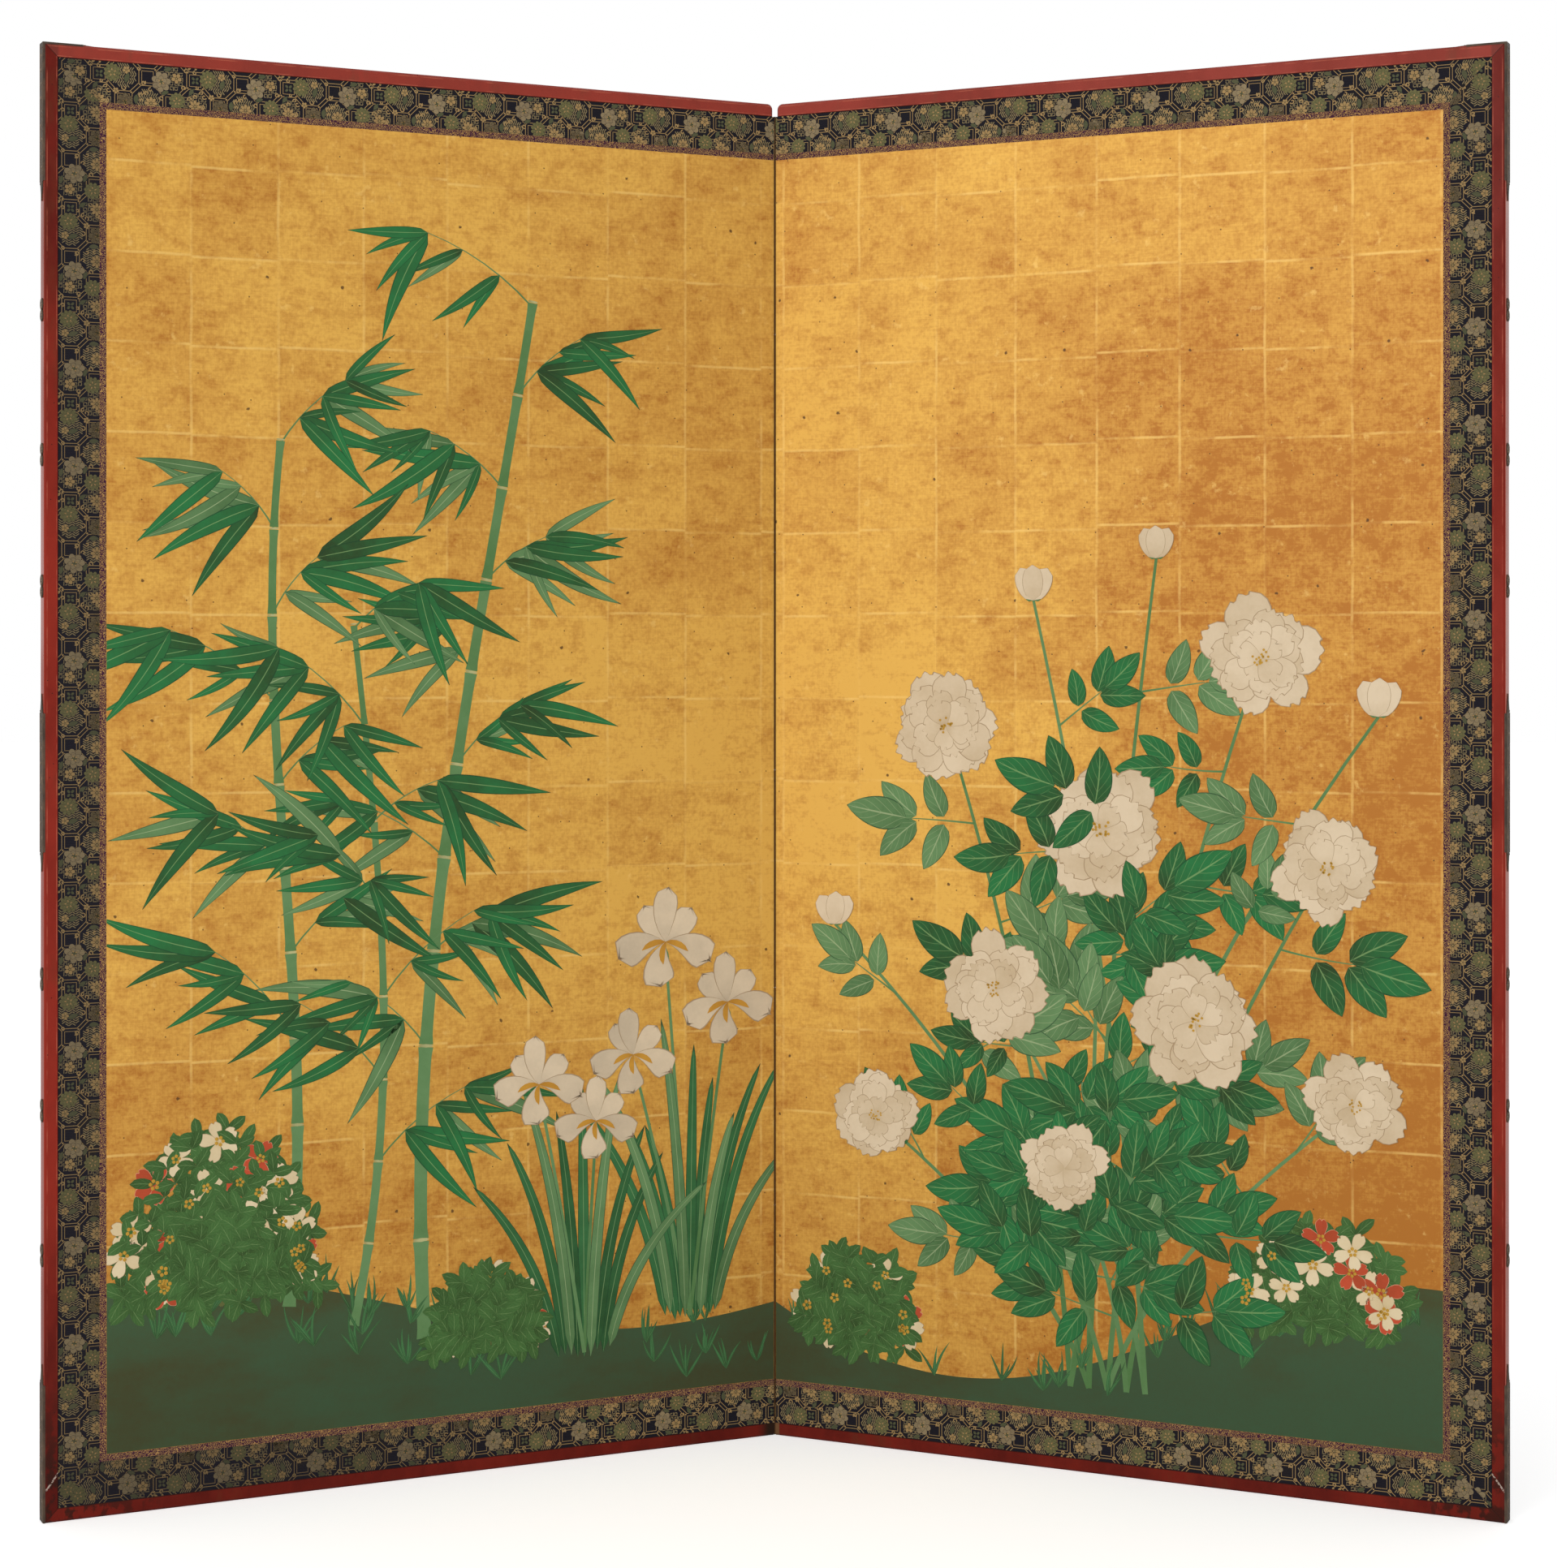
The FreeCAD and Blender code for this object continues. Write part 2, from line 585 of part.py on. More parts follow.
def bent_path(sketch, points):
    """An open run of straight lines through points, each given as two expressions."""
    start = FreeCAD.Vector(
        start_value["leaf_width"], start_value["leaf_height"] - start_value["corner_leg"], 0
    )
    corner = FreeCAD.Vector(start_value["leaf_width"], start_value["leaf_height"], 0)
    end = corner - FreeCAD.Vector(start_value["corner_arm"], 0, 0)
    sketch.addGeometry(Part.LineSegment(start, corner), False)
    sketch.addGeometry(Part.LineSegment(corner, end), False)
    sketch.addConstraint(Sketcher.Constraint("Coincident", 0, 2, 1, 1))
    for geometry, point, (across, up) in zip((0, 0, 1), (1, 2, 2), points):
        place_point(sketch, geometry, point, across, up)


def bottom_corner_fitting():
    """A metal channel on the stile's foot, with a flat sole let into the underside."""
    body = new_body("bottom_corner_fitting")
    upright(body, fitting_section(), "0", "Sizes.corner_leg")
    across = f"{WIDTH} - Sizes.corner_arm"
    sole = box(across, f"{WIDTH} + {METAL}", f"{BACK} + {CHAMFER}", f"{FRONT} - {CHAMFER}")
    upright(body, sole, "0", METAL)
    pointed_end(body, "YZ_Plane", "Sizes.corner_leg", "-", False)
    finish(body)


def centre_fitting():
    """A metal channel on the middle of the stile, pointed at both ends."""
    body = new_body("centre_fitting")
    low = f"(({HEIGHT} - Sizes.centre_length) / 2)"
    high = f"(({HEIGHT} + Sizes.centre_length) / 2)"
    upright(body, fitting_section(), low, high)
    pointed_end(body, "YZ_Plane", low, "+", False)
    pointed_end(body, "YZ_Plane", high, "-", False)
    finish(body)


def small_plates():
    """Small plates of two round lobes, in a row up the stile's edge."""
    body = new_body("small_plates")
    for side in ("+", "-"):
        lobes = sketch_on(body, "YZ_Plane", WIDTH)
        for share in PLATE_HEIGHT_SHARES:
            up = f"{HEIGHT} * {share} {side} Sizes.lobe_spacing / 2"
            circle(lobes, MIDDLE, up, "Sizes.lobe_radius")
        pad(body, lobes, METAL)
    finish(body)


# Heights of the hinge strips: the two kinds take turns up the fold.
STRIP_PITCH = f"(({TOP} - {FOOT}) / (2 * Sizes.strip_pairs))"
FIRST_LOW = f"({FOOT} + Sizes.strip_space / 2)"
STRIP_SPAN = f"(Sizes.strip_pairs - 1) * 2 * {STRIP_PITCH}"


def strips(label, corners, second, foot=None):
    """Every other hinge strip up the fold, with the same level section, the lowest one down to a foot."""
    body = new_body(label)
    low = f"({FIRST_LOW} + {STRIP_PITCH})" if second else FIRST_LOW
    strip = upright(body, corners, low, f"({low} + {STRIP_PITCH} - Sizes.strip_space)")
    repeat(body, [strip], "Z_Axis", STRIP_SPAN, "Sizes.strip_pairs")
    if foot:
        upright(body, corners, foot, low)
    return body


def keep(body, label, mirror):
    """Keeps one body under a label of its own, as it is or as its mirror image."""
    if mirror:
        body.Label = f"{label}_drawn"
        made[label] = mirrored(body, label)
    else:
        body.Label = label
        made[label] = body


def bent_end(outer_face, inner_face, tip):
    """A strip's section where it lies on the panel and turns up along the panel's edge."""
    bend = f"({EDGE} - Sizes.strip_paper)"
    return [
        (bend, tip),
        (EDGE, tip),
        (EDGE, outer_face),
        (STRIP_IN, outer_face),
        (STRIP_IN, inner_face),
        (bend, inner_face),
    ]


def lining_strip():
    """A strip's section where it lies on the panel's back and all along its edge."""
    bend = f"({EDGE} - Sizes.strip_paper)"
    return [
        (bend, STRIP_NEAR),
        (EDGE, STRIP_NEAR),
        (EDGE, UNDER_BACK),
        (STRIP_IN, UNDER_BACK),
        (STRIP_IN, STRIP_BACK),
        (EDGE, STRIP_BACK),
        (EDGE, STRIP_FAR),
        (bend, STRIP_FAR),
    ]


def hinge_strips():
    """Paper strips that cross the fold, front to back and back to front in turn."""
    half = "Sizes.strip_paper / 2"
    folding = box(f"-{half}", half, STRIP_NEAR, STRIP_FAR)
    front_end = bent_end(UNDER_FRONT, STRIP_FRONT, STRIP_FAR)
    back_end = bent_end(UNDER_BACK, STRIP_BACK, STRIP_NEAR)
    keep(strips("folding_strips", folding, False, "Sizes.strip_foot"), "folding_strips", True)
    keep(strips("folding_strip_fronts", front_end, False), "folding_strip_front_ends", False)
    keep(strips("folding_strip_backs", back_end, False), "folding_strip_back_ends", True)
    keep(strips("return_strips", lining_strip(), True), "return_strips", False)
    keep(strips("return_strip_fronts", front_end, True), "return_strip_front_ends", True)


core_stile("core_fold_stile", "right", PANEL_FOLD, CORE_LEFT)
core_stile("core_outer_stile", "left", CORE_RIGHT, PANEL_OUT)
core_rail("core_top_rail", CORE_TOP, TOP, HIGH_JOINT, TOP)
core_rail("core_bottom_rail", FOOT, CORE_FOOT, LOW_JOINT, FOOT)
core_upright_laths()
core_level_laths()
underlay("front_underlay", UNDER_FRONT, STRIP_FRONT, CORE_FRONT)
underlay("back_underlay", UNDER_BACK, STRIP_BACK, CORE_BACK)
plain_sheet("picture_sheet", EDGE, PICTURE_OUT, PICTURE_FOOT, PICTURE_TOP, UNDER_FRONT, SHEET_FRONT)
plain_sheet("backing_sheet", EDGE, PANEL_OUT, FOOT, TOP, SHEET_BACK, UNDER_BACK)
plain_sheet("fold_edge_paper", EDGE, PANEL_FOLD, FOOT, TOP, STRIP_BACK, STRIP_FRONT)
border("brocade", BORDER_IN, PANEL_OUT, BORDER_FOOT, BORDER_TOP, FOOT, TOP)
border("inner_border", PICTURE_OUT, BORDER_IN, PICTURE_FOOT, PICTURE_TOP, BORDER_FOOT, BORDER_TOP)
lacquered_stile()
lacquered_rail("top_rail", TOP, HEIGHT, UP_LEAF)
lacquered_rail("bottom_rail", FOOT, "0", -UP_LEAF)
top_corner_fitting()
centre_fitting()
bottom_corner_fitting()
small_plates()
frame_pegs()
hinge_strips()

doc.recompute()

broken = [o.Label for o in doc.Objects if "Invalid" in o.State or "Error" in o.State]
if broken:
    raise RuntimeError(f"objects that failed: {broken}")
for label, piece in made.items():
    if piece.Shape.isNull() or not piece.Shape.isValid() or not piece.Shape.Solids:
        raise RuntimeError(f"{label} has no valid solid")

os.makedirs("parts", exist_ok=True)
for label, piece in made.items():
    piece.Shape.exportStep(f"parts/{label}.step")
    bounds = piece.Shape.BoundBox
    print(f"{label}: {len(piece.Shape.Solids)} solids, {piece.Shape.Volume / 1000:.2f} cm3, "
          f"z {bounds.ZMin:.2f} to {bounds.ZMax:.2f}")
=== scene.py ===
"""Looks of a two-leaf folding screen: gold-leafed paper panels in brocade borders and red lacquered frames.

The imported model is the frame, in metres. Each leaf also has its own millimetres: X out from the fold,
Y from the back to the front, Z up. Flat work on a leaf is laid out in those and then placed.
"""

import json
import math
import random

import bmesh
import bpy
from mathutils import Matrix, Vector


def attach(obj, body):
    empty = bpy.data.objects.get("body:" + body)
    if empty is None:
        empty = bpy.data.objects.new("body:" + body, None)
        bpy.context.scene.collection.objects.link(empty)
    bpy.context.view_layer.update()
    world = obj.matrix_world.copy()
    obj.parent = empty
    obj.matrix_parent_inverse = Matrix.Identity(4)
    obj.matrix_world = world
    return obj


bl_info = {
    "name": "Folding Screen Looks",
    "version": (1, 0, 0),
    "blender": (4, 5, 0),
    "location": "View3D > Sidebar > Folding Screen",
    "description": "Gold leaf, brocade, lacquer, fittings and painting of a two-leaf folding screen",
    "category": "Object",
}

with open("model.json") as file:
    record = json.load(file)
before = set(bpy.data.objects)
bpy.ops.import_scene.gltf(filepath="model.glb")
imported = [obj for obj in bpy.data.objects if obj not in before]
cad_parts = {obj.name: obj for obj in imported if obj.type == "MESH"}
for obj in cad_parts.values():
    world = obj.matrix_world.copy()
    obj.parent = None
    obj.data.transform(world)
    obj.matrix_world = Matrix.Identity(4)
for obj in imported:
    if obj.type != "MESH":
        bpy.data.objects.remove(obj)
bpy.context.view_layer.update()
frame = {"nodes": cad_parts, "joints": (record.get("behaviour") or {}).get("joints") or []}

MM = 0.001
SIDES = ("left", "right")

# The fold: both joint axes lie on the fold edge of a leaf, one at its front and one at its back
fold_front, fold_back = (Vector(joint["pos_m"]) for joint in frame["joints"])
fold_edge = fold_back - fold_front
LEAF_TURN = math.atan2(fold_edge.x, fold_edge.y)


def leaf_matrix(side):
    """Takes a leaf's own millimetres to the frame's metres."""
    start = Matrix.Translation((-fold_edge.x, fold_back.y, 0))
    turned = Matrix.Rotation(math.pi + LEAF_TURN, 4, "Z") @ Matrix.Scale(MM, 4)
    mirror = Matrix.Diagonal((1 if side == "left" else -1, 1, 1, 1))
    return mirror @ start @ turned


LEAF = {side: leaf_matrix(side) for side in SIDES}


def leaf_box(node):
    """Lowest and highest corner of a left leaf's node, in the leaf's own millimetres."""
    to_leaf = LEAF["left"].inverted()
    spots = [to_leaf @ vertex.co for vertex in frame["nodes"][node].data.vertices]
    low = Vector(min(spot[axis] for spot in spots) for axis in range(3))
    high = Vector(max(spot[axis] for spot in spots) for axis in range(3))
    return low, high


picture_low, picture_high = leaf_box("left_picture_sheet")
brocade_low, brocade_high = leaf_box("left_brocade_side")
frame_low, frame_high = leaf_box("left_outer_stile")
corner_low, corner_high = leaf_box("left_top_corner_fitting")
FRONT = picture_high.y
BROCADE_WIDTH = brocade_high.x - brocade_low.x

# Where the first octagon of the brocade's lattice lies, across and along the border
LATTICE_COLUMN = 14.5
LATTICE_FOOT = 7.0
# How far the lattice and what fills it lie above the silk
LATTICE_LIFT = 0.03
# How far the fittings' scrollwork stands off them, and their pairs of nails lie off their middle line
RELIEF = 0.25
NAIL_ACROSS = 4.6
# How much higher each stroke lies for every corner laid before it
STROKE_RISE = 3e-5


def paint(code):
    """The linear values of a colour written as an sRGB hex value."""
    channels = [int(code[place:place + 2], 16) / 255 for place in (1, 3, 5)]
    linear = [c / 12.92 if c <= 0.04045 else ((c + 0.055) / 1.055) ** 2.4 for c in channels]
    return (*linear, 1.0)


def colour_of(name, code, description):
    """A colour that a user can change."""
    return bpy.props.FloatVectorProperty(
        name=name, description=description, default=paint(code), size=4, min=0, max=1, subtype="COLOR"
    )


def length_of(name, millimetres, description):
    """A length that a user can change."""
    return bpy.props.FloatProperty(
        name=name, description=description, default=millimetres * MM, min=0,
        unit="LENGTH", subtype="DISTANCE", precision=4,
    )


class ScreenSizes(bpy.types.PropertyGroup):
    """Sizes of the finishes."""

    leaf_square: length_of("Leaf square", 105.6, "Pitch of the squares of gold leaf")
    leaf_overlap: length_of("Leaf overlap", 1.5, "Width of the bright line where two squares overlap")
    brocade_repeat: length_of("Brocade repeat", 113, "Length after which the woven pattern repeats")
    thread_line: length_of("Thread line", 0.85, "Width of the woven lattice's lines")
    pigment: length_of("Pigment", 0.06, "Thickness of the painted colour")
    paper_bend: length_of("Paper bend", 0.75, "Radius of the bent hinge papers along the front of the fold")
    nail_head: length_of("Nail head", 2.6, "Diameter of the fittings' nail heads")


class ScreenColours(bpy.types.PropertyGroup):
    """Colours of the finishes."""

    gold: colour_of("Gold", "#daa84b", "Gold leaf where it is clean")
    gold_bright: colour_of("Bright gold", "#ecc673", "Gold leaf where two squares overlap")
    gold_worn: colour_of("Worn gold", "#a8691f", "Gold leaf where it is rubbed and stained")
    lacquer: colour_of("Lacquer", "#90291b", "Red lacquer of the frames")
    lacquer_dark: colour_of("Dark lacquer", "#52120b", "Red lacquer where it is thin and darkened")
    brocade: colour_of("Brocade ground", "#17161f", "Ground of the brocade borders")
    thread_gold: colour_of("Gilt thread", "#a38657", "Lattice and small flowers of the brocade")
    thread_grey: colour_of("Grey thread", "#8f7e5e", "Large blossoms of the brocade")
    thread_sage: colour_of("Sage thread", "#605c39", "Round blossoms of the brocade")
    thread_leaf: colour_of("Leaf thread", "#40462f", "Leaves of the brocade")
    inner_ground: colour_of("Inner border", "#3d1c31", "Ground of the thin inner border")
    green_deep: colour_of("Deep green", "#2c7240", "Malachite green of the leaves")
    green_pale: colour_of("Pale green", "#66895a", "Paler green of the young leaves and stems")
    moss: colour_of("Moss", "#435a3e", "Green of the banks")
    shell_white: colour_of("Shell white", "#d8c4a6", "Shell white of the petals")
    cinnabar: colour_of("Cinnabar", "#bf4f34", "Red of the small flowers")
    paper: colour_of("Backing paper", "#5d5443", "Paper over the backs of the leaves")
    metal: colour_of("Fittings", "#3f342c", "Patinated copper of the fittings")


def sizes():
    """The sizes that the finishes are made to."""
    return bpy.context.scene.screen_sizes


def colours():
    """The colours that the finishes are made in."""
    return bpy.context.scene.screen_colours


def first_output(node):
    """The first of a node's outputs that is in use."""
    return next(output for output in node.outputs if output.enabled)


def add(tree, kind, links=None, **settings):
    """Adds a shader node; an input takes a value, a hex colour, a socket or a node's first output."""
    made = tree.nodes.new("ShaderNode" + kind)
    for name, value in settings.items():
        setattr(made, name, value)
    for name, value in (links or {}).items():
        if isinstance(value, bpy.types.Node):
            value = first_output(value)
        elif isinstance(value, str):
            value = paint(value)
        if isinstance(value, bpy.types.NodeSocket):
            tree.links.new(value, made.inputs[name])
        else:
            made.inputs[name].default_value = value
    return made


def new_material(name, shine=0.5, **settings):
    """A material whose shader has this specular level and the given plain settings, such as roughness."""
    material = bpy.data.materials.new(name)
    material.use_nodes = True
    inputs = material.node_tree.nodes["Principled BSDF"].inputs
    inputs["Specular IOR Level"].default_value = shine
    for setting, value in settings.items():
        inputs[setting.title()].default_value = value
    return material, material.node_tree


def link(tree, node, name):
    """Links a node's first output to an input of the material's shader."""
    tree.links.new(first_output(node), tree.nodes["Principled BSDF"].inputs[name])


def coated(material, colour, height, depth=0.2, strength=0.5):
    """Gives a material its colour and a relief this many millimetres deep, and returns it."""
    tree = material.node_tree
    link(tree, colour, "Base Color")
    link(tree, add(tree, "Bump", {"Height": height, "Distance": depth * MM, "Strength": strength}), "Normal")
    return material


def leaf_place(tree, side):
    """The place on a leaf in its own millimetres, read from the object's coordinates."""
    flip = 1 if side == "left" else -1
    turn = math.pi - LEAF_TURN if side == "left" else -LEAF_TURN
    return add(tree, "Mapping", {
        "Vector": add(tree, "TexCoord").outputs["Object"],
        "Location": LEAF[side].inverted().translation,
        "Rotation": (0, 0, turn),
        "Scale": (1 / MM, flip / MM, 1 / MM),
    })


def object_place(tree):
    """The place in the object's coordinates, in millimetres."""
    return add(tree, "Mapping", {"Vector": add(tree, "TexCoord").outputs["Object"], "Scale": [1 / MM] * 3})


def out_and_up(tree, place):
    """How far out and how high a place is."""
    spot = add(tree, "SeparateXYZ", {0: place})
    return spot.outputs["X"], spot.outputs["Z"]


def elsewhere(tree, place, scale=(1, 1, 1)):
    """The place scaled, and moved on by steps of its own, so that no two patterns line up."""
    start = (len(bpy.data.materials) * 31.7, 0, len(tree.nodes) * 5.3)
    return add(tree, "Mapping", {"Vector": place, "Scale": scale, "Location": start})


def mottling(tree, place, size, stretch=(1, 1, 1), detail=4):
    """Cloudy noise whose patches are about this many millimetres, stretched along each axis."""
    scaled = elsewhere(tree, place, [1 / size / part for part in stretch])
    return add(tree, "TexNoise", {"Vector": scaled, "Scale": 1.0, "Detail": detail, "Roughness": 0.6})


def between(tree, value, low, high, start=0.0, end=1.0):
    """A value turned to start at low and end at high, smooth and held past them."""
    inputs = {0: value, 1: low, 2: high, 3: start, 4: end}
    return add(tree, "MapRange", inputs, interpolation_type="SMOOTHSTEP")


def tinted(tree, share, first, second):
    """The first colour turned to the second by a share."""
    return add(tree, "Mix", {0: share, 6: first, 7: second}, data_type="RGBA")


def specks(tree, place, spacing, size, share):
    """Marks of this size in millimetres on a leaf's face, one in a cell, in that share of the cells."""
    out, up = out_and_up(tree, elsewhere(tree, place, [1 / spacing] * 3))
    face = add(tree, "CombineXYZ", {"X": out, "Y": up})
    cells = add(tree, "TexVoronoi", {"Vector": face, "Scale": 1.0}, voronoi_dimensions="2D")
    chosen = add(tree, "Math", {0: cells.outputs["Color"], 1: share}, operation="LESS_THAN")
    near = between(tree, cells.outputs["Distance"], 0.3 * size / spacing, 0.5 * size / spacing, 1, 0)
    return add(tree, "Math", {0: near, 1: chosen}, operation="MULTIPLY")


def strongest(tree, mask, *others):
    """The strongest of some masks."""
    for other in others:
        mask = add(tree, "Math", {0: mask, 1: other}, operation="MAXIMUM")
    return mask


def masked(tree, mask, *others):
    """The product of some masks."""
    for other in others:
        mask = add(tree, "Math", {0: mask, 1: other}, operation="MULTIPLY")
    return mask


def weighed(tree, parts):
    """The sum of values, each times its weight."""
    total = 0.0
    for value, weight in parts:
        total = add(tree, "Math", {0: value, 1: weight, 2: total}, operation="MULTIPLY_ADD")
    return total


def gold_leaf(side):
    """Beaten gold leaf laid in squares, with bright overlaps, brown clouds, silk grain and specks."""
    material, tree = new_material(f"beaten_gold_leaf_{side}", shine=0.3, metallic=0.3, roughness=0.5)
    place = leaf_place(tree, side)
    pitch = sizes().leaf_square / MM
    first_join = {"left": 19.0, "right": 11.5}[side]
    ragged = mottling(tree, place, 60, detail=6)
    wander = add(tree, "VectorMath", {0: ragged.outputs["Color"], 1: (0.5, 0.5, 0.5)}, operation="SUBTRACT")
    moved = add(tree, "VectorMath", {0: wander, 1: (3.5, 3.5, 3.5), 2: place}, operation="MULTIPLY_ADD")
    out, up = out_and_up(tree, moved)
    column_at = add(tree, "MapRange", {0: out, 1: first_join, 2: first_join + pitch}, clamp=False)
    column = add(tree, "Math", {0: column_at}, operation="FLOOR")
    jitter = add(tree, "TexWhiteNoise", {"W": column}, noise_dimensions="1D")
    row_from = add(tree, "Math", {0: up, 1: pitch}, operation="DIVIDE")
    row_at = add(tree, "Math", {0: jitter.outputs["Value"], 1: 0.06, 2: row_from}, operation="MULTIPLY_ADD")
    row = add(tree, "Math", {0: row_at}, operation="FLOOR")
    square = add(tree, "CombineXYZ", {"X": column, "Y": row, "Z": SIDES.index(side) * 7.3})
    tone = add(tree, "TexWhiteNoise", {"Vector": square}, noise_dimensions="3D")

    # Bright lines on the joins between squares, stronger on the level ones
    lines = []
    for along_axis, share, strength in ((column_at, 2.0, 0.4), (row_at, 1.9, 0.5)):
        nearest = add(tree, "Math", {0: along_axis, 1: 0.5}, operation="PINGPONG")
        width = share * sizes().leaf_overlap / MM / pitch
        line = between(tree, nearest, width * 0.15, width * 0.85, strength, 0)
        faint = between(tree, mottling(tree, place, 55, detail=5), 0.41, 0.61, 0.16, 1)
        lines.append(masked(tree, line, faint))
    joins = strongest(tree, *lines)

    # Browner towards the foot and, on the right leaf most, towards the outer edge; a painted highlight makes
    # it less brown by the fold at middle height
    out, up = out_and_up(tree, place)
    outward = between(tree, out, *{"left": (640, 850, 0, 0.1), "right": (220, 640, 0, 0.48)}[side])
    worn = weighed(tree, (
        (between(tree, mottling(tree, place, 85, (1.5, 1, 1), detail=7), 0.42, 0.66), 0.24),
        (between(tree, mottling(tree, place, 15, (1.4, 1, 1), detail=6), 0.44, 0.7), 0.34),
        (between(tree, mottling(tree, place, 4.5, detail=4), 0.36, 0.7), 0.28),
        (mottling(tree, place, 1.6, (14, 1, 1), detail=2), 0.46),
        (mottling(tree, place, 1.6, (1, 1, 10), detail=2), 0.34),
        (tone.outputs["Value"], 0.26),
        (masked(tree, outward, between(tree, up, 1560, 1150, 0.5, 1)), 1.0),
        (between(tree, up, 620, 200), 0.26),
        # Painted highlight: less brown near the fold, between about 480 and 1150 mm up
        (masked(
            tree, between(tree, out, 600, 150), between(tree, up, 480, 700), between(tree, up, 1150, 950)
        ), -0.22),
    ))
    worn = add(tree, "Math", {0: worn, 1: 0.46}, operation="SUBTRACT", use_clamp=True)
    colour = tinted(tree, worn, colours().gold, colours().gold_worn)
    pale = between(tree, mottling(tree, place, 15, detail=5), 0.62, 0.74, 0, 0.35)
    colour = tinted(tree, strongest(tree, joins, pale), colour, colours().gold_bright)
    smear = mottling(tree, place, 5, detail=4).outputs["Color"]
    shaken = add(tree, "VectorMath", {0: smear, 1: (5, 5, 5), 2: moved}, operation="MULTIPLY_ADD")
    marks = strongest(tree, specks(tree, moved, 30, 2.2, 0.3), specks(tree, shaken, 75, 4.6, 0.3))
    colour = tinted(tree, masked(tree, marks, 0.85), colour, "#4d2f10")
    return coated(material, colour, add(tree, "Math", {0: joins, 1: ragged}, operation="ADD"), strength=0.3)


def woven_ribs(tree, place, scale, distortion):
    """Level ribs, as on woven silk."""
    settings = {"Vector": place, "Scale": scale, "Distortion": distortion, "Detail": 1.0}
    return add(tree, "TexWave", settings, bands_direction="Z").outputs["Fac"]


def brocade_ground(side):
    """Silk ground woven with fine ribs: matt, blue-black, faded to brown in patches."""
    material, tree = new_material(f"silk_brocade_ground_{side}", shine=0.1, roughness=0.85)
    place = leaf_place(tree, side)
    # The silk's ribs are finer than half a millimetre, so they are drawn twice as coarse
    ribs = woven_ribs(tree, place, 1 / 6, 0.4)
    faded = between(tree, mottling(tree, place, 60), 0.5, 0.8)
    colour = tinted(tree, faded, colours().brocade, "#241f1b")
    colour = tinted(tree, masked(tree, ribs, 0.22), colour, "#322d29")
    return coated(material, colour, ribs)


def thread(name, colour, edge, side, outlined):
    """Figure threads floated over the silk: flat matt colour, ribbed across, with a dark woven outline."""
    material, tree = new_material(f"{name}_{side}", shine=0.15, roughness=0.75)
    place = leaf_place(tree, side)
    ribs = woven_ribs(tree, place, 1 / 7, 0.6)
    tone = add(tree, "Attribute", attribute_name="tone")
    worn = between(tree, mottling(tree, place, 45), 0.4, 0.8)
    share = weighed(tree, ((ribs, 0.25), (tone.outputs["Fac"], 0.35), (worn, 0.35)))
    colour = tinted(tree, share, colour, edge)
    if outlined:
        middle = add(tree, "VectorMath", {0: add(tree, "UVMap"), 1: (0.5, 0.5, 0)}, operation="DISTANCE")
        line = between(tree, middle.outputs["Value"], 0.5 - outlined * 1.4, 0.5 - outlined)
        colour = tinted(tree, line, colour, colours().brocade)
    # The upright strips are dirtier than the level ones, and the left leaf's most, with its outer foot
    out, up = out_and_up(tree, place)
    dirt = between(tree, out, brocade_low.x - 1, brocade_low.x + 1, 0, {"left": 0.38, "right": 0.16}[side])
    if side == "left":
        foot = between(tree, up, brocade_low.z + BROCADE_WIDTH + 20, brocade_low.z + BROCADE_WIDTH, 0, 0.55)
        dirt = strongest(tree, dirt, masked(tree, foot, between(tree, out, 200, 620)))
    return coated(material, tinted(tree, dirt, colour, "#2b261e"), ribs)


def inner_border_silk(side):
    """Thin purple silk with a close scroll figure in gilt thread."""
    material, tree = new_material(f"purple_gilt_silk_{side}", shine=0.1, roughness=0.8)
    place = leaf_place(tree, side)
    curls = mottling(tree, place, 4.2, detail=1)
    scroll = add(tree, "Math", {0: curls, 1: 0.075}, operation="PINGPONG")
    figure = between(tree, scroll, 0.042, 0.054)
    gilt = tinted(tree, mottling(tree, place, 40), "#b59059", "#8b6439")
    return coated(material, tinted(tree, figure, colours().inner_ground, gilt), figure)


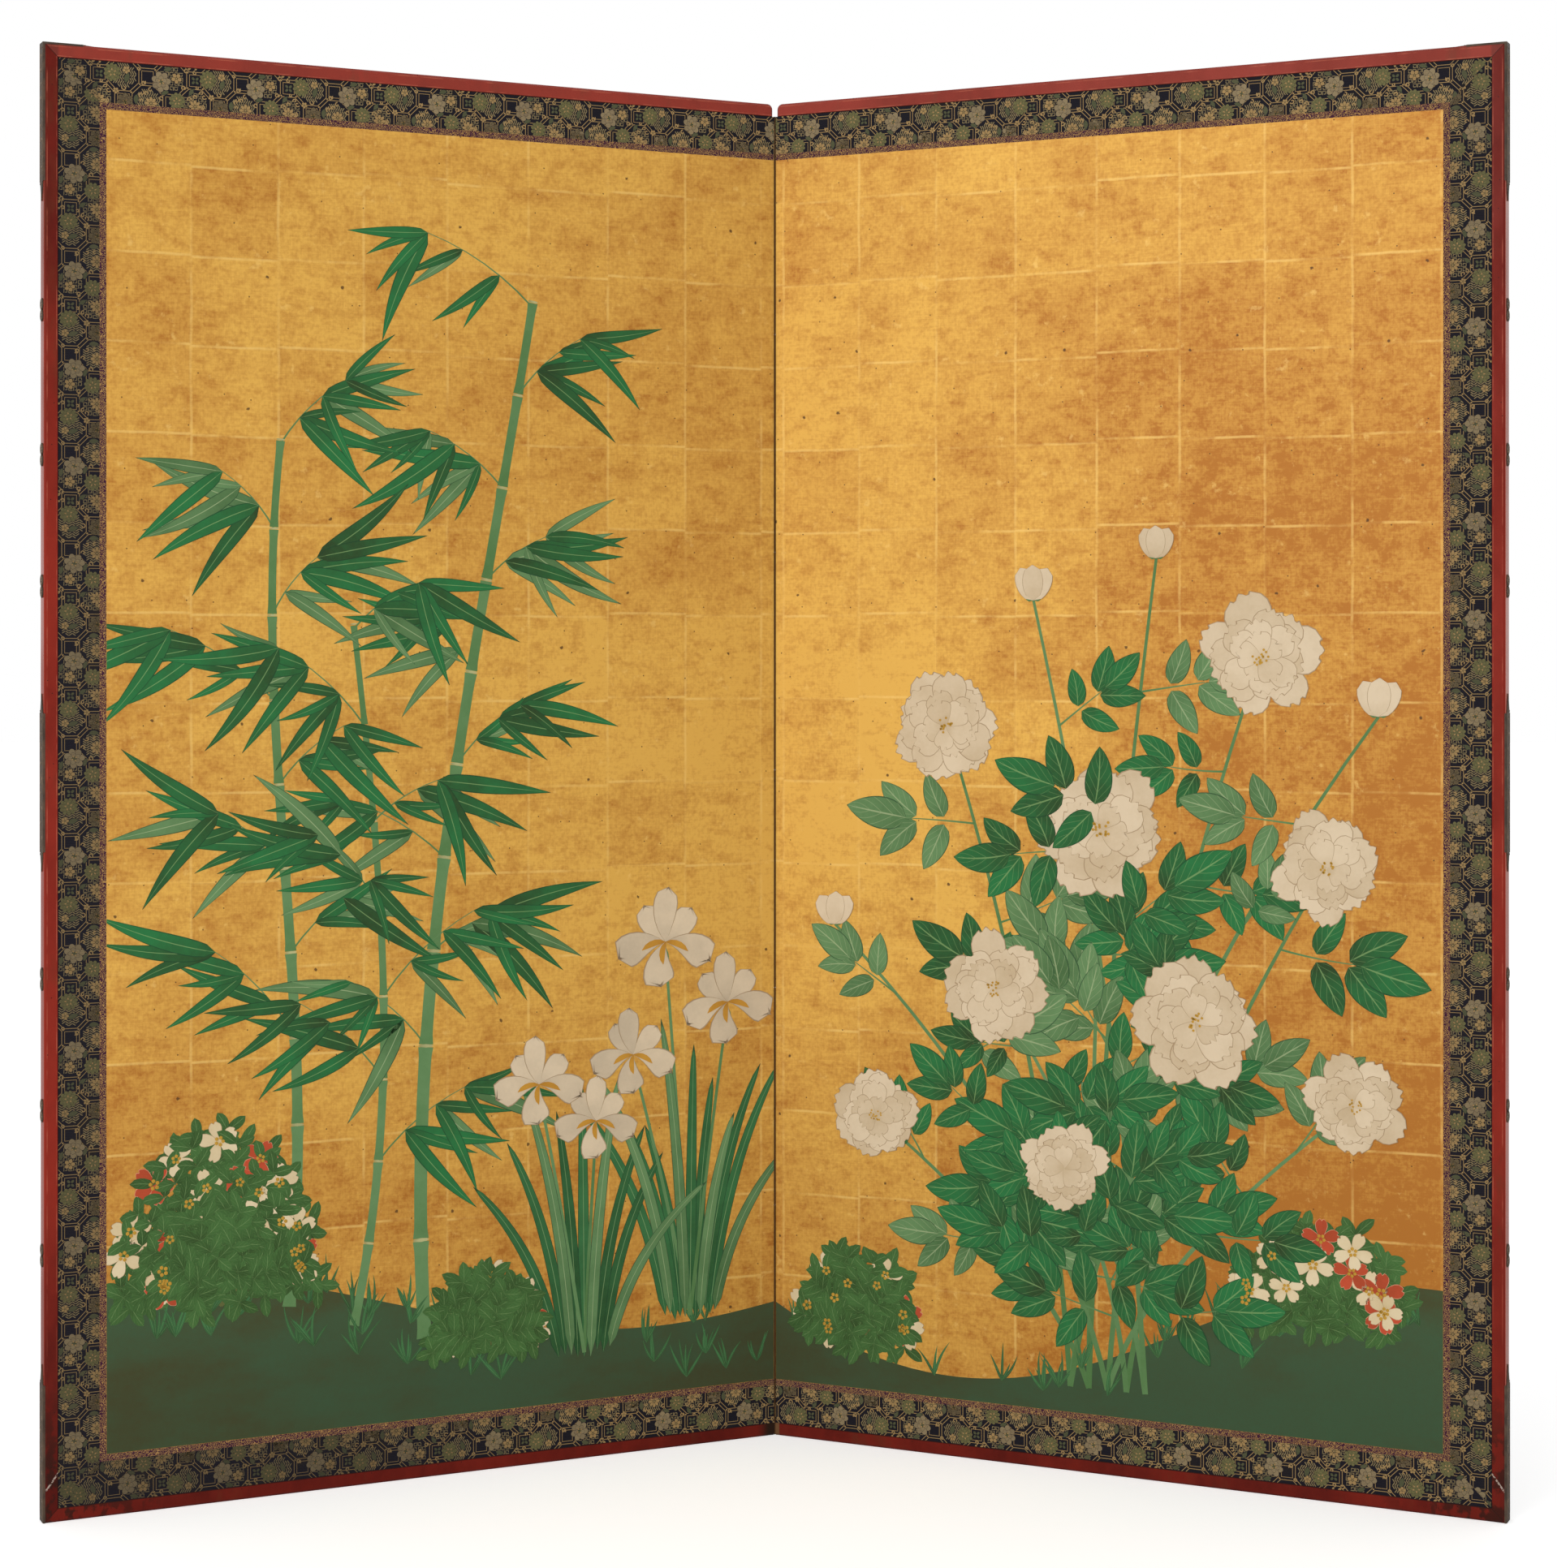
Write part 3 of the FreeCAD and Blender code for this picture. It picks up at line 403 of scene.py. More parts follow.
def red_lacquer(side):
    """Red lacquer: soft gloss, darker where thin and at the joints, with painted shade towards the foot, a
    painted sheen on the top rail, painted highlights on the arrises, a painted shadow by the silk and a
    painted reflection on the outer face; chipped low.
    """
    material, tree = new_material(f"red_lacquer_{side}", shine=0.09, roughness=0.42)
    place = leaf_place(tree, side)
    out, up = out_and_up(tree, place)
    # The stile and the rails meet in mitres
    height, width = frame_high.z, frame_high.x
    face = width - frame_low.x
    rise_less_out = add(tree, "Math", {0: up, 1: out}, operation="SUBTRACT")
    rise_and_out = add(tree, "Math", {0: up, 1: out}, operation="ADD")
    on_rail = strongest(
        tree, between(tree, rise_less_out, height - width - 0.1, height - width + 0.1),
        between(tree, rise_and_out, width + 0.1, width - 0.1),
    )
    on_stile = between(tree, on_rail, 0, 1, 1, 0)
    cloudy = between(tree, mottling(tree, place, 90, (1, 1, 2)), 0.35, 0.7)
    brushed = mottling(tree, place, 3, (5, 1, 8), detail=3)
    # Painted shade: darker towards the foot, as light falls from above; also darker near the top of the
    # stile's face, and at the stile's foot, most on the left
    low = between(tree, up, 420, 20)
    high = masked(tree, between(tree, up, 1250, 1600), between(tree, out, width - 18, width - 15))
    on_foot = masked(tree, low, on_stile, {"left": 0.4, "right": 0.1}[side])
    share = weighed(tree, ((cloudy, 0.34), (brushed, 0.3), (low, 0.42), (high, 0.5), (on_foot, 1.0)))
    colour = tinted(tree, share, colours().lacquer, colours().lacquer_dark)
    aged = between(tree, mottling(tree, place, 45, (1, 1, 3), detail=5), 0.55, 0.72, 0, 0.5)
    colour = tinted(tree, aged, colour, "#5d2f1b")
    # Painted sheen: the top rail's face is tinted a paler pink
    top_rail_painted_sheen = masked(tree, on_rail, between(tree, up, height - face - 1, height - face), 0.11)
    colour = tinted(tree, top_rail_painted_sheen, colour, "#c2786a")

    # Painted highlights as pale lines just inside the arrises; dark lines in the mitres, and a painted shadow
    # where the frame meets the silk
    def ruled(axis, places, half):
        lines = [add(tree, "Math", {0: axis, 1: at, 2: half}, operation="COMPARE") for at in places]
        return strongest(tree, *lines)

    def ruled_round(insets, half):
        upright = ruled(out, [width - inset for inset in insets], half)
        level = ruled(up, [height - inset for inset in insets] + list(insets), half)
        return strongest(tree, masked(tree, upright, on_stile), masked(tree, level, on_rail))

    patchy = between(tree, mottling(tree, place, 22, (1, 1, 2)), 0.42, 0.62, 0, 0.55)
    lit = between(tree, up, 90, 420)
    # Painted highlights: pale patchy lines inside the outer and inner arrises, fading out towards the foot
    rubbed = ruled_round((3.4, face - 1.6), 0.55)
    colour = tinted(tree, masked(tree, rubbed, patchy, lit), colour, "#b5604a")
    mitres = strongest(tree, ruled(rise_less_out, [height - width], 0.6), ruled(rise_and_out, [width], 0.6))
    # Painted shadow: a dark line along the inner arris beside the silk, together with the dark mitre lines
    dark = strongest(tree, mitres, ruled_round((face - 0.3,), 0.45))
    colour = tinted(tree, masked(tree, dark, 0.75), colour, "#26100b")
    # Painted reflection: the stiles' outer faces are tinted paler, pale pink on the right
    outer_face = between(tree, out, width - 0.9, width - 0.5)
    painted_side_reflection = {"left": "#9c4636", "right": "#c47a6a"}[side]
    colour = tinted(tree, masked(tree, outer_face, 0.5), colour, painted_side_reflection)

    # Chips and wear: round the feet of the outer corners and, by hands and floor, at the foot of the fold
    flaked = mottling(tree, place, 14, (1.2, 1, 1.6), detail=5)
    by_corner = masked(tree, between(tree, up, 190, 40), between(tree, out, width - 190, width - 30))
    chips = masked(tree, between(tree, flaked, 0.46, 0.56), by_corner, 0.8)
    reach, wood = {"left": ((26, 8), "#2a1a10"), "right": ((7, 5), "#6d4c30")}[side]
    by_fold = masked(tree, between(tree, out, *reach), between(tree, up, 60, 16))
    colour = tinted(tree, chips, colour, "#2a160f")
    colour = tinted(tree, by_fold, colour, wood)
    steepness, rise, half_width = 1.35, 35, 1.7
    slant = add(tree, "Math", {0: out, 1: steepness, 2: up}, operation="MULTIPLY_ADD")
    reached = width * steepness + rise
    scratch = add(tree, "Math", {0: slant, 1: reached, 2: half_width}, operation="COMPARE")
    scratch = masked(tree, scratch, between(tree, mottling(tree, place, 2.5), 0.46, 0.54, 0, 0.8))
    scratch = masked(tree, scratch, between(tree, up, 90, 80))
    colour = tinted(tree, scratch, colour, "#b9a79a")
    colour = tinted(tree, specks(tree, place, 16, 1.6, 0.2), colour, "#3a1510")
    gloss = weighed(tree, ((cloudy, 0.17), (outer_face, -0.2)))
    link(tree, add(tree, "Math", {0: gloss, 1: 0.38}, operation="ADD"), "Roughness")
    return coated(material, colour, brushed, 0.1, 0.3)


def paper(name, colour, edge):
    """Handmade mulberry paper: matt, with long fibres and faint laps between sheets."""
    material, tree = new_material(name, shine=0.15, roughness=0.9)
    place = object_place(tree)
    fibres = mottling(tree, place, 2.2, (1, 1, 9), detail=3)
    cloudy = between(tree, mottling(tree, place, 150), 0.35, 0.75)
    share = add(tree, "Math", {0: fibres, 1: 0.35}, operation="MULTIPLY")
    share = add(tree, "Math", {0: cloudy, 1: 0.45, 2: share}, operation="MULTIPLY_ADD")
    sheet_height = 420.0
    lap = add(tree, "Math", {0: out_and_up(tree, place)[1], 1: sheet_height / 2}, operation="PINGPONG")
    seam = between(tree, lap, 1.0, 2.0, 0.5, 0)
    share = add(tree, "Math", {0: share, 1: seam}, operation="ADD")
    return coated(material, tinted(tree, share, colour, edge), fibres)


def planed_softwood(name, early, late):
    """Planed wood of the hidden lattice and its pegs: straight grain along each lath."""
    material, tree = new_material(name, shine=0.3, roughness=0.6)
    place = object_place(tree)
    grain = mottling(tree, place, 2.5, (1, 1, 30), detail=3)
    return coated(material, tinted(tree, grain, early, late), grain)


def patinated_copper(name, colour, light):
    """Copper under a dark, nearly matt oxide: brown-black, worn lighter on what stands proud."""
    material, tree = new_material(name, shine=0.15, metallic=0.15, roughness=0.6)
    place = object_place(tree)
    cloudy = between(tree, mottling(tree, place, 14), 0.35, 0.7)
    colour = tinted(tree, cloudy, colour, light)
    # Ring-punched ground between the scrolls, drawn coarser than its real half millimetre
    dots = add(tree, "TexVoronoi", {"Vector": place, "Scale": 1 / 1.3, "Randomness": 0.35})
    link(tree, between(tree, cloudy, 0, 1, 0.5, 0.68), "Roughness")
    return coated(material, colour, dots, 0.4)


def pigment(name, body, shade, line, veins=0, outline=0.0, outline_colour="#8d7150"):
    """Ground mineral colour bound in glue: matt, a little grainy, with veins or a brushed outline."""
    material, tree = new_material(name, shine=0.12, roughness=0.8)
    place = object_place(tree)
    tone = add(tree, "Attribute", attribute_name="tone")
    grain = mottling(tree, place, 4, detail=5)
    spot = add(tree, "SeparateXYZ", {0: add(tree, "UVMap")})
    cloudy = between(tree, mottling(tree, place, 45), 0.35, 0.7)
    ahead = spot.outputs["X"]
    root = between(tree, ahead, 0.55, 0.0)
    share = weighed(tree, ((tone.outputs["Fac"], 0.62), (grain, 0.3), (cloudy, 0.35), (root, 0.35)))
    share = add(tree, "Math", {0: share, 1: 0.28}, operation="SUBTRACT", use_clamp=True)
    colour = tinted(tree, share, body, shade)
    off_middle = add(tree, "Math", {0: spot.outputs["Y"], 1: 0.5}, operation="SUBTRACT")
    off_middle = add(tree, "Math", {0: off_middle}, operation="ABSOLUTE")
    if veins:
        drawn = between(tree, off_middle, 0.012, 0.035, 0.6, 0)
        if veins > 1:
            slanted = add(tree, "Math", {0: off_middle, 1: -0.8, 2: ahead}, operation="MULTIPLY_ADD")
            ruled = add(tree, "Math", {0: slanted, 1: 0.5 / veins}, operation="PINGPONG")
            drawn = strongest(tree, drawn, between(tree, ruled, 0.004, 0.012, 0.35, 0))
        colour = tinted(tree, drawn, colour, line)
    if outline:
        side_line = between(tree, off_middle, 0.5 - outline, 0.5 - outline / 2, 0, 0.7)
        end_line = between(tree, ahead, 1 - outline * 0.6, 1 - outline * 0.3, 0, 0.8)
        colour = tinted(tree, strongest(tree, side_line, end_line), colour, outline_colour)
    return coated(material, colour, grain)


def moss_pigment(name):
    """Green of the banks, thin enough in places for the brown under it to show."""
    material, tree = new_material(name, shine=0.12, roughness=0.85)
    place = object_place(tree)
    patches = between(tree, mottling(tree, place, 150, (2.5, 2.5, 1), detail=7), 0.45, 0.68)
    fine, broad = mottling(tree, place, 6, detail=5), mottling(tree, place, 60)
    thin = weighed(tree, ((patches, 0.8), (fine, 0.5), (broad, 0.3)))
    thin = add(tree, "Math", {0: thin, 1: 0.3}, operation="SUBTRACT", use_clamp=True)
    colour = tinted(tree, thin, colours().moss, "#4a4326")
    low = between(tree, out_and_up(tree, place)[1], 330, 90, 0, 0.35)
    colour = tinted(tree, low, colour, "#2c4431")
    return coated(material, colour, mottling(tree, place, 5))


def dress(node, material):
    """Gives a node of the frame its finish."""
    slots = frame["nodes"][node].data.materials
    slots.clear()
    slots.append(material)


def new_work():
    """An empty mesh for flat work, with a map for each stroke and a tone at each corner."""
    work = bmesh.new()
    work.loops.layers.uv.new("UVMap")
    work.verts.layers.float.new("tone")
    return work


def new_works(*kinds):
    """An empty mesh for each kind of flat work."""
    return {kind: new_work() for kind in kinds}


def toward(angle):
    """The unit vector that points at an angle, in radians."""
    return Vector((math.cos(angle), math.sin(angle)))


def wreath(centre, count, reach, start=0.0, squeeze=1.0):
    """Yields the angles, in radians, and the spots of this many things set evenly round a centre."""
    for number in range(count):
        angle = start + number * math.tau / count
        yield angle, (centre[0] + math.cos(angle) * reach, centre[1] + math.sin(angle) * reach * squeeze)


def along(path, share):
    """The point at a share of the way along a path, which is a function or the points that bend a curve."""
    if callable(path):
        return path(share)
    points = list(path)
    while len(points) > 1:
        points = [first.lerp(second, share) for first, second in zip(points, points[1:])]
    return points[0]


def stroke(work, path, width, lift, steps=8, across=2, tone=0.5, frill=0.0):
    """Brushes a strip along a path; its width can change with the share, and a frill waves its far end."""
    tones = work.verts.layers.float["tone"]
    lift += len(work.verts) * STROKE_RISE
    near, waves = 0.01, 1.5
    made = bmesh.ops.create_grid(work, x_segments=steps, y_segments=across, size=0.5, calc_uvs=True)["verts"]
    for vertex in made:
        share = min(max(vertex.co.x + 0.5, 0.0), 1.0)
        beside = vertex.co.y
        ahead = (along(path, share + near) - along(path, share - near)).normalized()
        full = width(share) if callable(width) else width
        spot = along(path, share) + Vector((-ahead.y, ahead.x)) * beside * full
        spot += ahead * frill * math.cos(beside * math.tau * waves) * share ** 3
        vertex.co = (spot.x, lift, spot.y)
        vertex[tones] = tone


def disc(work, centre, radius, lift, corners=10, squeeze=1.0, turn=0.0, tone=0.5):
    """Lays a flat disc, squeezed across and turned, and returns its face."""
    matrix = Matrix.Translation((centre[0], lift, centre[1])) @ Matrix.Rotation(math.pi / 2, 4, "X")
    matrix = matrix @ Matrix.Rotation(turn, 4, "Z") @ Matrix.Diagonal((1, squeeze, 1, 1))
    tones = work.verts.layers.float["tone"]
    made = bmesh.ops.create_circle(
        work, cap_ends=True, segments=corners, radius=radius, matrix=matrix, calc_uvs=True
    )["verts"]
    for vertex in made:
        vertex[tones] = tone
    return made[0].link_faces[0]


def ring(work, centre, radius, line, lift, corners, turn):
    """Lays a closed line round a polygon."""
    face = disc(work, centre, radius, lift, corners, turn=turn)
    bmesh.ops.inset_individual(work, faces=[face], thickness=line)
    bmesh.ops.delete(work, geom=[face], context="FACES")


def taper(width, rise, fall, least=0.3):
    """The width of a leaf that widens by one power of the share and narrows by another, up to its peak."""
    peak = rise / (rise + fall)
    full = peak ** rise * (1 - peak) ** fall
    return lambda share: max(least, width * share ** rise * (1 - share) ** fall / full)


def heading(start, angle, length, bend=0.0):
    """A path that leaves its start at an angle, in degrees, and bends aside by a share of its length."""
    ahead = toward(math.radians(angle))
    aside = Vector((-ahead.y, ahead.x))
    return [start, start + ahead * length / 2 + aside * bend * length, start + ahead * length]


def spiral(start, angle, size, hand):
    """A path that leaves its start at an angle, in degrees, and winds up to one hand, 1 or -1."""
    ahead = math.radians(angle)
    middle = start + size * toward(ahead + hand * math.pi / 2)
    winding, tightening = 1.7 * math.pi, 0.7

    def point(share):
        turned = ahead - hand * math.pi / 2 + hand * share * winding
        return middle + size * (1 - tightening * share) * toward(turned)

    return point


def face_front(work):
    """Turns every face of flat work to the leaf's front."""
    work.normal_update()
    bmesh.ops.reverse_faces(work, faces=[face for face in work.faces if face.normal.y < 0])


def mesh_of(work, name):
    """Turns finished work into mesh data."""
    data = bpy.data.meshes.new(name)
    work.to_mesh(data)
    work.free()
    return data


def join_in(whole, part):
    """Adds finished work to other work."""
    data = mesh_of(part, "part")
    whole.from_mesh(data)
    bpy.data.meshes.remove(data)


def placed(name, data):
    """Puts a mesh, a lamp or a camera in the scene."""
    made = bpy.data.objects.new(name, data)
    bpy.context.scene.collection.objects.link(made)
    return made


def hang(name, work, side, material, thickness=None):
    """Makes a piece of work in a leaf's millimetres and lets it ride on that leaf."""
    work.transform(LEAF[side])
    if side == "right":
        bmesh.ops.reverse_faces(work, faces=work.faces)
    data = mesh_of(work, name)
    data.materials.append(material)
    piece = placed(name, data)
    if thickness:
        shell = piece.modifiers.new("thickness", "SOLIDIFY")
        shell.thickness = thickness
        shell.offset = -1
    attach(piece, f"{side}_leaf")


def trim(work, cuts):
    """Cuts flat work off on the far side of each plane, given as a spot and the way off."""
    for spot, normal in cuts:
        everything = work.verts[:] + work.edges[:] + work.faces[:]
        bmesh.ops.bisect_plane(
            work, geom=everything, dist=1e-4, plane_co=spot, plane_no=normal, clear_outer=True
        )


def hang_paint(name, work, side, material):
    """Makes a piece of the painting, cut to the picture and built up from the gold leaf."""
    by_fold, margin = 0.4, 0.2
    trim(work, (
        ((picture_low.x + by_fold, 0, 0), (-1, 0, 0)), ((picture_high.x - margin, 0, 0), (1, 0, 0)),
        ((0, 0, picture_low.z + margin), (0, 0, -1)), ((0, 0, picture_high.z - margin), (0, 0, 1)),
    ))
    highest = max(vertex.co.y for vertex in work.verts)
    work.transform(Matrix.Translation((0, FRONT, 0)))
    face_front(work)
    hang(name, work, side, material, thickness=highest * MM + sizes().pigment)


class SCREEN_OT_finish_core(bpy.types.Operator):
    """Finishes the wooden lattice and the papers over it"""

    bl_idname = "folding_screen.finish_core"
    bl_label = "Wood and papers"

    def execute(self, context):
        wood = planed_softwood("planed_softwood", "#c9a377", "#a97c4d")
        underlay = paper("layered_underlay_paper", "#c8b48e", "#a58f68")
        backing = paper("dyed_backing_paper", colours().paper, "#443c2e")
        edge = paper("fold_edge_paper", "#4a3722", "#2a1e13")
        hinge = paper("hinge_paper", "#54402a", "#302317")
        pegs = planed_softwood("peg_wood", "#9c7444", "#7b5730")
        for side in SIDES:
            dress(f"{side}_frame_pegs", pegs)
            for name in frame["nodes"]:
                if name.startswith(f"{side}_core_"):
                    dress(name, wood)
            dress(f"{side}_front_underlay", underlay)
            dress(f"{side}_back_underlay", underlay)
            dress(f"{side}_backing_sheet", backing)
            dress(f"{side}_fold_edge_paper", edge)
        for name in frame["nodes"]:
            if "strip" in name:
                dress(name, hinge)
        foot, top = 1.0, brocade_high.z
        radius = sizes().paper_bend
        middle = Matrix.Translation((fold_front.x, fold_front.y, (foot + top) / 2 * MM))
        work = bmesh.new()
        bmesh.ops.create_cone(
            work, cap_ends=True, segments=12, radius1=radius, radius2=radius,
            depth=(top - foot) * MM, matrix=middle,
        )
        bends = placed("hinge_paper_bends", mesh_of(work, "hinge_paper_bends"))
        bends.data.materials.append(paper("bent_hinge_paper", "#4c331d", "#291a0f"))
        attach(bends, "hinge_strips")
        return {"FINISHED"}


class SCREEN_OT_lay_gold_leaf(bpy.types.Operator):
    """Lays the gold leaf over the picture sheets"""

    bl_idname = "folding_screen.lay_gold_leaf"
    bl_label = "Gold leaf"

    def execute(self, context):
        for side in SIDES:
            dress(f"{side}_picture_sheet", gold_leaf(side))
        return {"FINISHED"}


class SCREEN_OT_lacquer_frames(bpy.types.Operator):
    """Lacquers the frames"""

    bl_idname = "folding_screen.lacquer_frames"
    bl_label = "Lacquered frames"

    def execute(self, context):
        for side in SIDES:
            lacquer = red_lacquer(side)
            for part in ("outer_stile", "top_rail", "bottom_rail"):
                dress(f"{side}_{part}", lacquer)
        return {"FINISHED"}


def lattice_spot(column, row):
    """The middle of an octagon or a square of the lattice."""
    step = sizes().brocade_repeat / MM / 4
    return LATTICE_COLUMN + column * step, LATTICE_FOOT + row * step


def lattice(tile, line):
    """The octagons and squares of the brocade's lattice over one repeat, in across and along millimetres."""
    pitch = sizes().brocade_repeat / MM / 2
    square = pitch / (2 + math.sqrt(2))
    inset = 1.9 * line
    eighth = math.pi / 8
    octagon_radius = (pitch - square) / 2 / math.cos(eighth) - inset
    square_radius = square * math.sqrt(0.5) - inset
    for column in range(-1, 3):
        for row in range(4):
            centre = lattice_spot(column, row)
            if (column + row) % 2 == 0:
                ring(tile, centre, octagon_radius, line, LATTICE_LIFT, 8, eighth)
                continue
            ring(tile, centre, square_radius, line, LATTICE_LIFT, 4, math.pi / 4)
            for _, knot in wreath(centre, 4, square_radius + 3.2 * line, math.pi / 4):
                disc(tile, knot, line * 1.3, 0.05, corners=6)


def bar(work, centre, length, width, angle):
    """Lays one straight woven bar."""
    turned = Matrix.Rotation(math.radians(angle), 4, "Y") @ Matrix.Rotation(math.pi / 2, 4, "X")
    matrix = Matrix.Translation((centre[0], LATTICE_LIFT, centre[1])) @ turned
    bmesh.ops.create_grid(
        work, x_segments=1, y_segments=1, size=0.5,
        matrix=matrix @ Matrix.Diagonal((length, width, 1, 1)), calc_uvs=True,
    )


def braid(tile, centre, reach, line):
    """Slanted bars, plaited, that fill an octagon."""
    column_width, row_height, length, slant = 4.0, 2.7, 4.4, 35
    for column in range(-4, 5):
        for row in range(-7, 8):
            across, up = column * column_width, row * row_height
            if abs(across) + abs(up) < reach * 1.35 and max(abs(across), abs(up)) < reach:
                angle = slant if column % 2 else -slant
                bar(tile, (centre[0] + across, centre[1] + up), length, line * 1.35, angle)


def key_fret(tile, centre, reach, line):
    """Keys turned this way and that, that fill an octagon."""
    cell = 5.6
    key = ((4.6, 0.0, -2.1, 0), (3.6, -2.1, 0.0, 90), (3.0, 0.2, 1.5, 0), (1.8, 1.5, 0.2, 90))
    for column in range(-2, 3):
        for row in range(-2, 3):
            across, up = column * cell, row * cell
            if abs(across) + abs(up) > reach * 1.3:
                continue
            for length, off_across, off_up, angle in key:
                if (column + row) % 2:
                    off_across, off_up, angle = off_up, -off_across, angle + 90
                spot = (centre[0] + across + off_across, centre[1] + up + off_up)
                bar(tile, spot, length, line, angle)


def fills(tile, line):
    """The braid and the key-fret that fill the octagons of one repeat."""
    for number, fill in enumerate((braid, key_fret, key_fret, braid)):
        column = number % 2
        fill(tile, lattice_spot(column, number // 2 * 2 + column), 14.0, line)


def blossom(work, centre, radius, rings, lift, turn=0.0):
    """A woven blossom of rings of petals, each ring given by its count, its reach and its petals' size."""
    tones = (0.15, 0.75, 0.45)
    for order, (petals, reach, size) in enumerate(rings):
        around = wreath(centre, petals, radius * reach, turn + order * 0.5, 0.9)
        for number, (angle, spot) in enumerate(around):
            height = lift + 0.025 * order + 0.001 * number
            disc(work, spot, radius * size, height, 9, 0.82, angle, tone=tones[number % 3])


def flecks(work, centre, reach, count):
    """A ring of short gilt stitches in the middle of a blossom."""
    for angle, spot in wreath(centre, count, reach, 0.5):
        disc(work, spot, 1.6, 0.23, 7, 0.6, angle, tone=0.1)


def figures(tiles, level):
    """The flowers, leaves and scrolls of one repeat of the brocade; a level border has more curls."""
    close = ((11, 0.76, 0.27), (8, 0.5, 0.25), (5, 0.24, 0.2), (1, 0.0, 0.14))
    for across, up, radius, turn in ((12.1, 20.1, 11.0, 0.2), (40.3, 57.0, 10.5, 0.7)):
        blossom(tiles["sage"], (across, up), radius, close, 0.09, turn)
        flecks(tiles["small"], (across, up), radius * 0.32, 5)
    full = ((7, 0.66, 0.42), (5, 0.34, 0.3))
    for across, up, radius, turn in (
        (18.8, 75.7, 12.0, 0.1), (45.6, 118.0, 10.5, 0.5), (45.6, 5.0, 10.5, 0.5),
    ):
        blossom(tiles["grey"], (across, up), radius, full, 0.15, turn)
        disc(tiles["leaf"], (across, up), radius * 0.25, 0.21, 8, 0.7, tone=0.0)
        flecks(tiles["small"], (across, up), radius * 0.22, 4)
    for across, up, radius, petals in (
        (44.9, 35.5, 8.0, 8), (45.0, 87.8, 8.0, 8),
        (13.4, 57.6, 6.6, 5), (8.0, 3.6, 4.8, 5), (33.0, 16.0, 4.0, 5),
    ):
        slim = 0.6 if petals > 5 else 0.9
        for angle, spot in wreath((across, up), petals, radius * 0.58):
            disc(tiles["small"], spot, radius * 0.42, 0.2, 8, slim, angle, tone=0.2)
        disc(tiles["leaf"], (across, up), radius * 0.22, 0.21, 7, tone=0.0)
        disc(tiles["small"], (across, up), radius * 0.15, 0.23, 6, tone=0.3)
    for across, up, length, angle in (
        (24.0, 36.0, 12, 35), (35.0, 104.0, 13, 5), (11.0, 113.0, 14, 20),
        (2.5, 62.0, 12, 75), (30.0, 66.0, 11, 70),
    ):
        path = heading(Vector((across, up)), angle, length, 0.12)
        stroke(tiles["leaf"], path, taper(length * 0.48, 0.6, 0.8), 0.12, 7)
    for across, up, size, angle, hand in (
        (34.0, 22.0, 2.9, 25, 1), (40.0, 74.0, 2.8, 60, 1), (26.5, 88.0, 2.6, 100, -1),
        (31.0, 97.0, 2.6, -60, 1), (28.0, 9.0, 3.0, 20, -1), (36.0, 41.0, 2.3, -100, 1),
        (44.0, 100.0, 2.3, 130, 1), (30.0, 30.0, 2.6, 150, 1), (6.0, 100.0, 2.3, 20, 1),
        (21.0, 33.5, 2.0, 60, -1),
    ):
        stroke(tiles["lattice"], spiral(Vector((across, up)), angle, size, hand), 1.25, 0.07, 12, 1)
    for across, up, angle in (
        (3.0, 36.0, 80), (26.0, 50.0, 110), (24.0, 96.0, 80), (2.0, 45.0, 120), (47.0, 30.0, 150),
    ):
        start = Vector((across, up))
        stroke(tiles["lattice"], spiral(start, angle, 2.6, 1 if across > 20 else -1), 1.3, 0.075, 12, 1)
        stroke(tiles["small"], heading(start, angle + 120, 6.0, 0.15), taper(3.0, 0.5, 0.8), 0.08, 6, 2, 0.4)
    for up in (35.7, 93.3) if level else ():
        curls = wreath((43.2, up), 5, 9.0, math.radians(50))
        for number, (angle, spot) in enumerate(curls):
            curl = spiral(Vector(spot), math.degrees(angle), 2.7, 1 if number % 2 else -1)
            stroke(tiles["lattice"], curl, 1.4, 0.075, 12, 1)
    for angle, spot in wreath((LATTICE_COLUMN, 35.3), 4, 3.2, math.pi / 4):
        disc(tiles["leaf"], spot, 2.4, 0.05, 6, 0.7, angle)


def weave(side, tiles, materials):
    """Runs the repeat along the three borders of a leaf, cuts it to each border and hangs the pieces."""
    repeat = sizes().brocade_repeat / MM
    foot, top = brocade_low.z, brocade_high.z
    fold, out = picture_low.x, brocade_high.x
    side_length, top_length = top - foot, out - fold
    phase = {"left": 0.0, "right": 0.43}[side] * repeat
    # Each border: how across and along lie on the leaf, its length, if it is level, where its cloth starts
    borders = (
        (Matrix(((-1, 0, 0, out), (0, 1, 0, FRONT), (0, 0, 1, foot), (0, 0, 0, 1))), side_length, False, 0.0),
        (Matrix(((0, 0, 1, fold), (0, 1, 0, FRONT), (-1, 0, 0, top), (0, 0, 0, 1))), top_length, True, 0.35),
        (Matrix(((0, 0, 1, fold), (0, 1, 0, FRONT), (1, 0, 0, foot), (0, 0, 0, 1))), top_length, True, 0.7),
    )
    for kind, cloth in tiles.items():
        whole = new_work()
        for matrix, length, level, shift in borders:
            strip = new_work()
            start = -repeat + (phase + shift * repeat) % repeat
            while start < length:
                cloth[level].transform(Matrix.Translation((0, 0, start)))
                strip.from_mesh(cloth[level])
                cloth[level].transform(Matrix.Translation((0, 0, -start)))
                start += repeat
            # Only the upright border is mitred at its near end
            near_way = (0, 0, -1) if level else (1, 0, -1)
            trim(strip, (
                ((0, 0, 0), (-1, 0, 0)), ((BROCADE_WIDTH, 0, 0), (1, 0, 0)),
                ((0, 0, 0), near_way), ((0, 0, length), (1, 0, 1)),
            ))
            strip.transform(matrix)
            face_front(strip)
            join_in(whole, strip)
        hang(f"{side}_brocade_{kind}", whole, side, materials[kind], sizes().pigment * 0.5)


